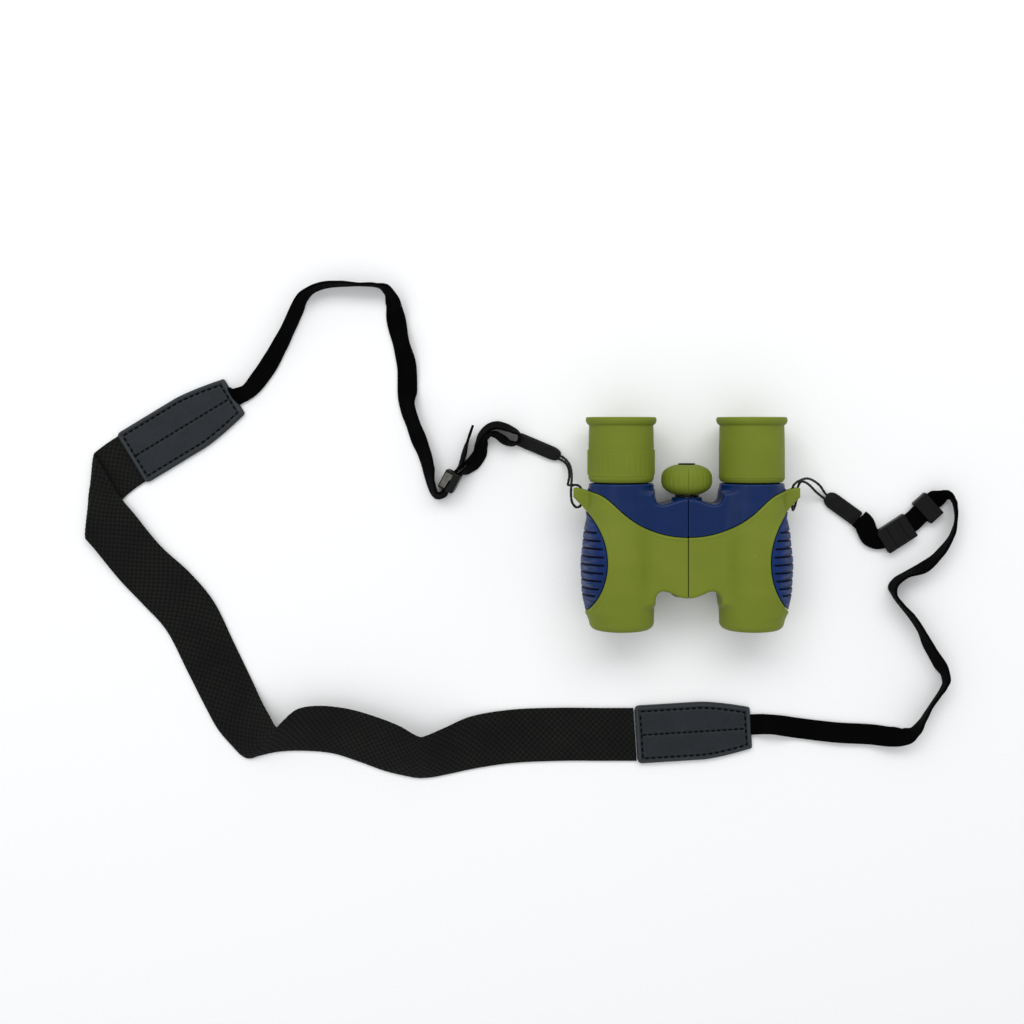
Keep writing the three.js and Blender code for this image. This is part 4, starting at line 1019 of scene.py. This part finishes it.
def neck_tab(side, length, origin, degrees):
    """The leather cover that joins the wide band to the narrow webbing, and its stitching."""
    rear, front = 13.7, 9.65

    def half_width(s):
        bend = np.clip((s - length * 0.56) / (length * 0.44), 0, 1)
        width = rear - (rear - front) * bend ** 1.45
        corner = np.clip(s / 2.2, 0, 1)
        nose = np.clip((length - s) / 0.8, 0, 1)
        return width - 2.2 * (1 - np.sqrt(1 - (1 - corner) ** 2)) - 0.8 * (1 - np.sqrt(1 - (1 - nose) ** 2))

    def centre_line(x, y):
        inside = np.clip(np.minimum(x - 2.4, length - 2.4 - x) / 0.5, 0, 1)
        return np.exp(-((y / 0.45) ** 2)) * inside

    def top(x, y, edge):
        rim = np.exp(-(((edge - 1.35) / 0.75) ** 2))
        groove = np.exp(-(((edge - 2.65) / 0.42) ** 2))
        panel = np.clip((edge - 2.6) / 4, 0, 1)
        crease = 0.05 * np.sin(x * 0.9 + y * 0.5) * np.sin(y * 0.7 - x * 0.25)
        body = 0.95 + 1.75 * rolled(edge, 1.2)
        return body + 0.24 * rim - 0.3 * groove + 0.1 * panel + crease * panel - 0.34 * centre_line(x, y)

    def bottom(x, y, edge):
        return 0.95 - 0.8 * rolled(edge, 0.9)

    points, faces, _ = pad_mesh(length, half_width, top, bottom, 0.42, 66)
    name = f"{side}_neck_tab_cover"
    add_mesh(name, placed(points, origin, degrees), faces, LEATHER, "right_half", [f"{side}_neck_tab"],
             "strap_leather")

    border = []
    inset = 2.65
    s = np.linspace(inset, length - inset, 80)
    w = half_width(s) - inset
    border += list(zip(s, w)) + list(zip(np.full(30, s[-1]), np.linspace(w[-1], -w[-1], 30)))
    border += list(zip(s[::-1], -w[::-1])) + list(zip(np.full(40, s[0]), np.linspace(-w[0], w[0], 40)))
    parts = []
    seam = [(at, 0.0) for at in s]
    for line, pitch, run in ((border, 3.0, 2.15), (seam, 2.7, 2.1)):
        line = np.array(line)
        far = np.concatenate([[0], np.cumsum(np.linalg.norm(np.diff(line, axis=0), axis=1))])
        for start in np.arange(0.3, far[-1] - run, pitch):
            parts.append(stitch(line, far, start, run))
    points, faces = join(parts)
    add_mesh(f"{side}_neck_tab_stitching", placed(points, origin, degrees), faces, THREAD, "right_half",
             slot="strap_webbing")


def stitch(line, far, start, run):
    """One stitch of thread that dips into the leather at both ends."""
    t = np.linspace(0, 1, 7)
    at = start + t * run
    x, y = np.interp(at, far, line[:, 0]), np.interp(at, far, line[:, 1])
    heading = np.array([x[-1] - x[0], y[-1] - y[0]]) / max(math.hypot(x[-1] - x[0], y[-1] - y[0]), 1e-6)
    height = 2.62 + 0.26 * np.sin(math.pi * t)
    angle = np.linspace(0, 2 * math.pi, 8, endpoint=False)
    radius = 0.3 * np.sqrt(np.clip(1 - (2 * t - 1) ** 4, 0.02, 1))
    ring = np.stack([x[:, None] - heading[1] * radius[:, None] * np.cos(angle),
                     y[:, None] + heading[0] * radius[:, None] * np.cos(angle),
                     height[:, None] + radius[:, None] * np.sin(angle)], -1)
    j = np.array([[0, 1, 6, 7], [1, 2, 5, 6], [2, 3, 4, 5]])
    faces = np.concatenate([grid_faces(7, 8, closed=True), j[:, ::-1], j + 48])
    return ring.reshape(-1, 3), faces


def end_tab(side, length, width, origin, degrees, rim):
    """The doubled tab that holds the loop cord: rounded, with a rolled border and a little sag."""
    def half_width(s):
        nose = np.clip(s / 4.6, 0, 1)
        tail = np.clip((length - s) / 0.9, 0, 1)
        return width / 2 * (0.34 + 0.66 * np.sqrt(1 - (1 - nose) ** 2)) * (0.86 + 0.14 * tail)

    def top(x, y, edge):
        waves = 0.09 * np.sin(x * 0.8) * np.cos(y * 0.9)
        return 1.4 + 1.0 * rolled(edge, 1.1) + waves - rim * np.exp(-(((edge - 1.4) / 0.4) ** 2))

    def bottom(x, y, edge):
        return 1.4 - 1.15 * rolled(edge, 1.0)

    points, faces, strap = pad_mesh(length, half_width, top, bottom, 0.4, 24)
    return add_mesh(f"{side}_loop_tab", placed(points, origin, degrees), faces, TAB, "right_half",
                    [f"{side}_end_tab"], "strap_webbing", strap=strap)


def folded(points):
    """Lays the flat band's far side back over itself at the fold line; points are [x, y] before the fold."""
    start, line = np.array(FOLD_START), np.array(FOLD_LINE)
    out = np.array((line[1], -line[0]))
    away = (points - start) @ out
    along = (points - start) @ line
    quarter = math.pi * FOLD_RADIUS / 2
    turn = np.clip((away + quarter) / FOLD_RADIUS, 0, math.pi)
    rolling = FOLD_RADIUS * np.sin(turn) - quarter
    reach = np.where(away < -quarter, away, np.where(away > quarter, -away, rolling))
    z = FOLD_RADIUS * (2 - np.cos(turn))
    flat = start + along[..., None] * line + reach[..., None] * out
    return np.concatenate([flat, z[..., None]], -1)


def band_grid(step=0.7, columns=36):
    """The band's middle surface: from the right tab through the flat fold, then between its two edges."""
    u = np.linspace(-BAND_WIDTH / 2, BAND_WIDTH / 2, columns + 1)
    s = np.arange(-6, 46.01, step)
    heading = np.radians(np.interp(s, *zip(*BAND_HEADINGS)))
    forward = np.stack([np.cos(heading), np.sin(heading)], 1)
    moves = (forward[1:] + forward[:-1]) / 2 * np.diff(s)[:, None]
    centre = np.concatenate([[[0, 0]], np.cumsum(moves, axis=0)])
    zero = np.array([np.interp(0, s, centre[:, i]) for i in (0, 1)])
    centre += np.array(BAND_START) - zero
    right = np.stack([forward[:, 1], -forward[:, 0]], 1)
    first = folded(centre[:, None, :] + right[:, None, :] * u[None, :, None])
    last_rows = [np.concatenate([first[i, -1], first[i, 0]]) for i in (-9, -5, -1)]
    control = np.concatenate([last_rows, BAND_EDGES])
    middle = (control[:, :3] + control[:, 3:]) / 2
    mark = np.concatenate([[0], np.cumsum(np.linalg.norm(np.diff(middle, axis=0), axis=1) ** 0.5)])
    fine = np.linspace(mark[2], mark[-1], 1600)
    rows = np.stack([smooth_through(mark, control[:, i], fine) for i in range(6)], 1)
    centre_line = (rows[:, :3] + rows[:, 3:]) / 2
    far = np.concatenate([[0], np.cumsum(np.linalg.norm(np.diff(centre_line, axis=0), axis=1))])
    even = np.linspace(0, far[-1], int(far[-1] / step) + 1)[1:]
    rows = np.stack([np.interp(even, far, rows[:, i]) for i in range(6)], 1)
    t = (u / BAND_WIDTH + 0.5)[None, :, None]
    second = rows[:, None, 3:] * (1 - t) + rows[:, None, :3] * t
    bulge = np.clip((rows[:, 2] - 3) / 9, 0, 1)[:, None] * np.sin(math.pi * t[..., 0]) * 0.9
    second[..., 2] += bulge
    along = np.concatenate([s, s[-1] + even])
    return along, u, np.concatenate([first, second])


def smooth_through(mark, values, at):
    """Catmull-Rom values at places between uneven marks."""
    slope = np.gradient(values, mark)
    i = np.clip(np.searchsorted(mark, at, side="right") - 1, 0, len(mark) - 2)
    gap = mark[i + 1] - mark[i]
    t = (at - mark[i]) / gap
    return ((2 * t ** 3 - 3 * t ** 2 + 1) * values[i] + (t ** 3 - 2 * t ** 2 + t) * gap * slope[i]
            + (3 * t ** 2 - 2 * t ** 3) * values[i + 1] + (t ** 3 - t ** 2) * gap * slope[i + 1])


def block(length, width, height, slot_width, slot, round_by=0.5, notches=()):
    """A rounded box with a slot along X; notches are (x, half length, depth, half width) cut from its top."""
    def field(x, y, z):
        sides = round_cut(np.abs(x) - length / 2, np.abs(y) - width / 2, round_by)
        body = round_cut(sides, slab(z, 0.1, height), round_by)
        opening = round_cut(np.abs(y) - slot_width / 2, slab(z, *slot), 0.3)
        body = np.maximum(body, -opening)
        for at, half, depth, half_width in notches:
            deep = round_cut(height - depth - z, np.abs(y) - half_width, 0.2)
            cut = round_cut(np.abs(x - at) - half, deep, 0.2)
            body = np.maximum(body, -cut)
        return body
    corner = (length / 2 + 1, width / 2 + 1)
    return surface_net(field, (-corner[0], -corner[1], -0.8), (*corner, height + 1), 0.25)


def block_piece(name, place, material, slot, replaces, shape, shift=(0, 0, 0)):
    """A piece from block's points and faces, turned and set down at its place on the table."""
    points, faces = shape
    points = placed(points + np.array(shift), *place)
    return add_mesh(name, points, faces, material, "right_half", replaces, slot)


def lug_cord(side, route, body):
    """The thin cord through a lug's eyelet, with its path and length in metres."""
    points, faces, place, length = tube(route, lambda s, a: CORD_RADIUS + 0.05 * np.sin(2 * a + s * 2.4))
    obj = add_mesh(f"{side}_lug_cord", points, faces, CORD, body, [f"{side}_loop_cord"], "strap_webbing")
    return obj, (place * MM).tolist(), length * MM


def build_strap():
    """Every strap piece, with the cords and straps declared at their real sizes."""
    for side, route, body in (("right", RIGHT_LUG_CORD, "right_half"), ("left", LEFT_LUG_CORD, None)):
        cord, path, length = lug_cord(side, route, body)
        if not body:
            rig.blend(cord, "left_half", "right_half", (0.053, 0.018, 0.010), (0.0665, 0.013, 0.002))
        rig.cord(cord, exit=path[0], length=length, diameter=0.0012, far_end="object", stiffness="medium",
                lay="loose", path=path)
    right_tab, left_tab = (end_tab(side, *LOOP_TABS[side]) for side in ("right", "left"))

    right_loop, _, _ = strap_piece("right_loop_strands", RIGHT_LOOP, LOOP_WIDTH, LOOP_THICKNESS, 0.07,
                                   "right_webbing_loop", 14)
    along, offset, grid, _ = route_grid(RIGHT_TAIL, LOOP_WIDTH, LOOP_THICKNESS, STRAP_STEP, 14)
    taper = np.clip((along[-1] - along) / 7.5, 0.12, 1)
    middle = grid.mean(1, keepdims=True)
    grid = middle + (grid - middle) * taper[:, None, None]
    points, faces, strap = sheet_mesh(along, offset, grid, 1.1, ribs(1.0, 0.06))
    tail = add_mesh("right_loop_tail", points, faces, WEBBING, "right_half", ["right_webbing_tail"],
                    "strap_webbing", strap=strap)
    buckle = block_piece("right_slide_buckle", RIGHT_BUCKLE_PLACE, BLACK, "buckle_metal",
                         ["right_strap_buckle"], block(9.4, 7.6, 10.0, 4.4, (0.7, 9.2), 0.7))
    plate = block_piece("right_buckle_face", RIGHT_BUCKLE_PLACE, BUCKLE_METAL, "buckle_metal", (),
                        block(7.2, 3.6, 1.0, 0.2, (2.0, 2.1), 0.25), (-0.3, 1.5, 9.1))
    webbing, path, length = strap_piece("right_webbing_strap", RIGHT_WEBBING, WEBBING_WIDTH,
                                        WEBBING_THICKNESS, 0.08, "right_webbing", 16)
    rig.cord(webbing, exit=path[-1], length=length, diameter=WEBBING_WIDTH * MM, far_end="fitting",
            stiffness="medium", lay="loose", path=path,
            with_pieces=[buckle, plate, right_loop, tail, right_tab])

    for side, lie in NECK_TABS.items():
        neck_tab(side, *lie)
    along, offset, grid = band_grid()
    points, faces, strap = sheet_mesh(along, offset, grid, BAND_THICKNESS - 0.35, basket(1.4, 0.2))
    points[:, 2] = np.maximum(points[:, 2], TABLE_GAP)
    band = add_mesh("neck_band_weave", points, faces, BAND, "right_half", ["neck_band"], "strap_webbing",
                    strap=strap)
    middle = grid.mean(1)
    length = np.linalg.norm(np.diff(middle, axis=0), axis=1).sum()
    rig.cord(band, exit=(middle[0] * MM).tolist(), length=length * MM, diameter=BAND_WIDTH * MM,
            far_end="fitting", stiffness="medium", lay="loose", path=(middle * MM).tolist(),
            with_pieces=["right_neck_tab_cover", "right_neck_tab_stitching", "left_neck_tab_cover",
                         "left_neck_tab_stitching"])

    keeper = block_piece("left_keeper", KEEPER_PLACE, BLACK, "black_plastic", ["left_strap_keeper"],
                         block(8.0, 12.8, 4.6, 10.4, (0.7, 3.5), 0.6))
    notches = ((-4.2, 1.3, 0.6, 5.2), (2.6, 1.3, 0.6, 5.2))
    left_buckle = block_piece("left_slide_buckle", LEFT_BUCKLE_PLACE, BLACK, "black_plastic",
                              ["left_strap_buckle"], block(15.8, 12.2, 4.6, 10.4, (0.3, 3.5), 0.5, notches))
    left_loop, _, _ = strap_piece("left_loop_strands", LEFT_LOOP, WEBBING_WIDTH, 2.2, 0.08,
                                  "left_webbing_loop", 16)
    webbing, path, length = strap_piece("left_webbing_strap", LEFT_WEBBING, WEBBING_WIDTH, WEBBING_THICKNESS,
                                        0.08, "left_webbing", 16)
    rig.cord(webbing, exit=path[0], length=length, diameter=WEBBING_WIDTH * MM, far_end="fitting",
            stiffness="medium", lay="loose", path=path,
            with_pieces=[keeper, left_buckle, left_loop, left_tab])


# ------------------------------------------------------------------ the binoculars
def build_shells():
    """Armour, thumb grips and housings; the right half's are mirrored from +X."""
    low, high = (-0.6, -50.2, -0.9), (53.4, 19.9, 37.4)
    armour = surface_net(armour_field, low, high, MESH_STEP)
    grip = surface_net(grip_field, (35.5, -47, 1), (50.5, 14.5, 36), 0.7 * MESH_STEP)
    depth = np.repeat(groove_depth(grip[0][:, 0], grip[0][:, 1])[:, None], 3, 1)
    for side in ("right", "left"):
        body, mirror = f"{side}_half", side == "right"
        add_mesh(f"{side}_armour_shell", *armour, GREEN, body, [f"{side}_armour"], "green_rubber", mirror)
        add_mesh(f"{side}_thumb_grip", *grip, GRIP, body, [f"{side}_grip"], "grip_rubber", mirror,
                 strap=depth)
        wide_low = (-7.6 if mirror else -7.4, *low[1:])
        shell = surface_net(housing_field(KNUCKLES[side], mirror), wide_low, high, MESH_STEP)
        add_mesh(f"{side}_body_shell", *shell, NAVY, body, [f"{side}_housing"], "navy_plastic", mirror)


def cup_profile(banded):
    """Radius and y round an eyecup; the banded one has a recess for the diopter ring."""
    outline = [(11.9, 19.35, 0), (14.0, 19.35, 0.5), (15.0, 20.9, 0.8)]
    if banded:
        outline += [(15.05, 22.2, 0.1), (13.6, 22.2, 0.1), (13.6, 34.8, 0.1), (15.0, 34.8, 0.1)]
    else:
        outline += [(15.05, 21.2, 0.05), (14.8, 21.35, 0.05), (15.05, 21.5, 0.05), (15.0, 34.8, 0.1)]
    outline += [(14.8, 44.6, 0.4), (14.72, 45.3, 0.3), (15.7, 46.0, 0.6), (16.35, 47.4, 0.9)]
    outline += [(16.1, 49.0, 0.7), (15.0, 49.22, 0.6), (13.9, 48.0, 0.8), (13.0, 45.75, 0.6)]
    outline += [(12.4, 42.7, 0.2), (7.6, 42.3, 0.2), (7.6, 41.3, 0.1), (11.9, 41.3, 0)]
    points = soften(outline, 0.2, 4)
    dense = []
    for a, b in zip(points, points[1:] + points[:1]):
        count = max(1, int(math.dist(a, b) / 1.2))
        dense += [tuple(np.array(a) + (np.array(b) - a) * k / count) for k in range(count)]
    return dense


def cup_shape(angle, radius, y):
    """The eyecup's outside, slightly out of round towards its rim."""
    outer = np.clip((radius - 14) / 0.6, 0, 1)
    drift = 0.05 * np.sin(3 * angle + y * 0.2) * outer
    return radius + drift * np.clip((y - 36) / 8, 0, 1)


def ring_shape(angle, radius, y):
    """The diopter ring: flutes that fade towards the eye, and a raised pad on each side."""
    outer = np.clip((radius - 14.4) / 0.4, 0, 1)
    side = np.minimum(np.abs(np.mod(angle + math.pi, 2 * math.pi) - math.pi), np.abs(angle - math.pi))
    fade = np.clip((34.6 - y) / 5, 0, 1) * np.clip((y - 22.3) / 1.2, 0, 1)
    flute = 0.5 + 0.5 * np.cos(angle * 34)
    ribbed = -0.16 * fade * flute ** 4 * np.clip((side - 0.32) / 0.1, 0, 1)
    pad_length = np.clip((y - 22.6) / 0.2, 0, 1) * np.clip((34.4 - y) / 0.2, 0, 1)
    pad = 0.55 * np.clip((0.25 - side) / 0.03, 0, 1) * pad_length
    return radius + outer * (ribbed + pad)


def build_eyepieces():
    """Eyecups, eye lenses, objectives with their bezels, and the right eyepiece's diopter ring."""
    bezel = [(10.2, -47.2), (10.5, -47.3), (11.2, -47.3), (11.4, -47.1), (11.4, -45.1), (10.2, -45.1)]
    for step in (0, 0.8):
        bezel += [(10.2, -45.6 - step), (10.35, -45.7 - step), (10.35, -46.0 - step), (10.2, -46.1 - step)]
    for side in ("right", "left"):
        x = -AXIS_X if side == "right" else AXIS_X
        cup_body, ocular_body, cell_body = EYEPIECE_BODIES[side]
        turned_piece(f"{side}_rolled_eyecup", cup_profile(side == "right"), x, AXIS_Z, 128, CUP_GREEN,
                     cup_body, f"{side}_eyecup", "green_rubber", 50, cup_shape)
        lens_piece(f"{side}_eye_lens_glass", f"{side}_eye_lens", x, 7.5, 35.2, 37.4, 1.0, 1.2, ocular_body)
        lens_piece(f"{side}_objective_glass", f"{side}_objective_lens", x, 10.1, -35.2, -33.4, 1.6, 0.6,
                   cell_body)
        turned_piece(f"{side}_objective_bezel", bezel, x, AXIS_Z, 112, BLACK, f"{side}_half",
                     f"{side}_objective_ring", "black_plastic", 40)

    band = [(13.9, 22.26), (14.85, 22.26), (14.98, 22.36)]
    band += [(14.98, y) for y in np.arange(22.7, 34.6, 0.45)]
    band += [(14.98, 34.75), (14.97, 34.77), (13.9, 34.77)]
    turned_piece("right_diopter_band", band, -AXIS_X, AXIS_Z, 288, CUP_GREEN, "diopter_ring",
                 "right_diopter_ring", "green_rubber", 45, ring_shape)


def lens_piece(name, node, x, radius, front, back, front_sag, back_sag, body):
    """A lens between its rims' front and back, bulging by a sag on each face."""
    rings = np.linspace(0.02, 1, 14)
    profile = [(radius * r, front - front_sag * (1 - r * r)) for r in rings]
    profile += [(radius * r, back + back_sag * (1 - r * r)) for r in rings[::-1]]
    turned_piece(name, profile, x, AXIS_Z, 80, GLASS, body, node, "lens_glass", 60)


def wheel_shape(angle, radius, y):
    """Shallow grip flutes round the focus wheel, and the moulding's parting line on top."""
    t = (y - WHEEL_Y) / WHEEL_HALF
    outer = np.clip((radius - 5) / 1.5, 0, 1)
    groove = (0.5 + 0.5 * np.cos(28 * angle)) ** 10
    from_top = np.mod(angle - math.pi / 2 + math.pi, 2 * math.pi) - math.pi
    parting = np.exp(-((from_top / 0.014) ** 2))
    depth = 0.17 * groove * np.clip((1 - np.abs(t)) / 0.25, 0, 1) + 0.22 * parting
    return radius - depth * outer


def build_focus():
    """The focus wheel with its end disc, its collar, and the hinge's front cap."""
    t = np.sin(np.linspace(-math.pi / 2, math.pi / 2, 41))
    outer = [(WHEEL_RADIUS * math.sqrt(1 - 0.82 * abs(a) ** 2.7), WHEEL_Y + WHEEL_HALF * a) for a in t]
    wheel_back = WHEEL_Y + WHEEL_HALF
    wheel = [(2.1, WHEEL_Y - WHEEL_HALF), *outer, (2.1, wheel_back)]
    disc = [(0.03, wheel_back), (3.9, wheel_back), (3.9, 27.95), (0.03, 28.02)]
    collar = [(2.6, 12.75), (5.6, 12.75), (5.6, 13.3), (2.6, 13.3)]
    cap = [(0.03, -33.1), (1.6, -33.1), (1.9, -32.9), (2.2, -33.1), (5.6, -33.05), (5.95, -32.8),
           (5.95, -32.4), (0.03, -32.4)]
    turned_piece("focus_wheel_rubber", wheel, 0, HINGE_Z, 336, CUP_GREEN, "focus_wheel", "focus_wheel",
                 "green_rubber", 60, wheel_shape)
    turned_piece("focus_wheel_disc", soften(disc, 0.2), 0, HINGE_Z, 80, BLACK, "focus_wheel",
                 "focus_wheel_cap", "black_plastic", 50)
    turned_piece("wheel_collar_ring", soften(collar, 0.12), 0, HINGE_Z, 80, BLACK, "right_half",
                 "wheel_collar", "black_plastic", 50)
    turned_piece("hinge_end_cap", soften(cap, 0.1), 0, HINGE_Z, 80, GREEN, "right_half",
                 "hinge_front_cap", "green_rubber", 50)


def paint_inner_parts():
    """Finishes for the inner CAD parts that keep their shape."""
    finishes = {BAFFLE: ["prism_frame", "ocular_tube", "objective_cell", "focus_arm"],
                GLASS: ["half_penta_prism", "roof_prism", "field_lens"]}
    finishes = {material: [f"{side}_{part}" for part in parts for side in ("right", "left")]
                for material, parts in finishes.items()}
    finishes[STEEL] = ["focus_spindle", "upper_hinge_bush", "hinge_pin"]
    finishes[BRASS] = ["focus_nut"]
    for material, names in finishes.items():
        for name in names:
            for holder in frame["nodes"][name].material_slots:
                holder.link = "OBJECT"
                holder.material = material


# ------------------------------------------------------------------ table and light
def build_stage():
    """A matt white table, a pale surround, a long soft light beyond the eyepieces and a weak fill."""
    n = Nodes("studio_floor")
    paper = n.noise(n.place(), 900, 4)
    n.set(Base_Color=n.mix(paper, linear((246, 246, 246)), linear((252, 252, 252))), Roughness=0.9,
          Specular_IOR_Level=0.1, Normal=n.bump(paper, 0.00002))
    mesh = bpy.data.meshes.new("studio_floor")
    mesh.from_pydata([(-4, -4, 0), (4, -4, 0), (4, 4, 0), (-4, 4, 0)], [], [(0, 1, 2, 3)])
    mesh.materials.append(n.material)
    floor = bpy.data.objects.new("studio_floor", mesh)
    scene.collection.objects.link(floor)
    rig.stage(floor)

    world = bpy.data.worlds.new("studio")
    scene.world = world
    world.use_nodes = True
    background = world.node_tree.nodes["Background"]
    background.inputs["Color"].default_value = (0.97, 0.985, 1.0, 1)
    background.inputs["Strength"].default_value = 0.70
    for name, place, size, energy, aim in (
            ("key", (0.05, 0.95, 1.15), (2.0, 0.6), 12.0, (0.0, 0.0, 0.0)),
            ("fill", (-0.9, 0.1, 1.3), (1.2, 1.2), 3.0, (-0.1, 0.0, 0.0))):
        data = bpy.data.lights.new(name, "AREA")
        data.shape = "RECTANGLE"
        data.size, data.size_y = size
        data.energy = energy
        light = bpy.data.objects.new(name, data)
        light.location = place
        direction = np.array(aim) - np.array(place)
        yaw = math.atan2(direction[0], -direction[1])
        pitch = math.atan2(math.hypot(*direction[:2]), -direction[2])
        light.rotation_euler = (pitch, 0, -yaw + math.pi)
        scene.collection.objects.link(light)
    scene.view_settings.view_transform = "Standard"


add_camera()
build_strap()
build_shells()
build_eyepieces()
build_focus()
paint_inner_parts()
build_stage()
with open("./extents.json", "w") as out:
    json.dump({"cad": [list(c) for c in cad_box], "visual": [list(c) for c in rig.bounds()]}, out)
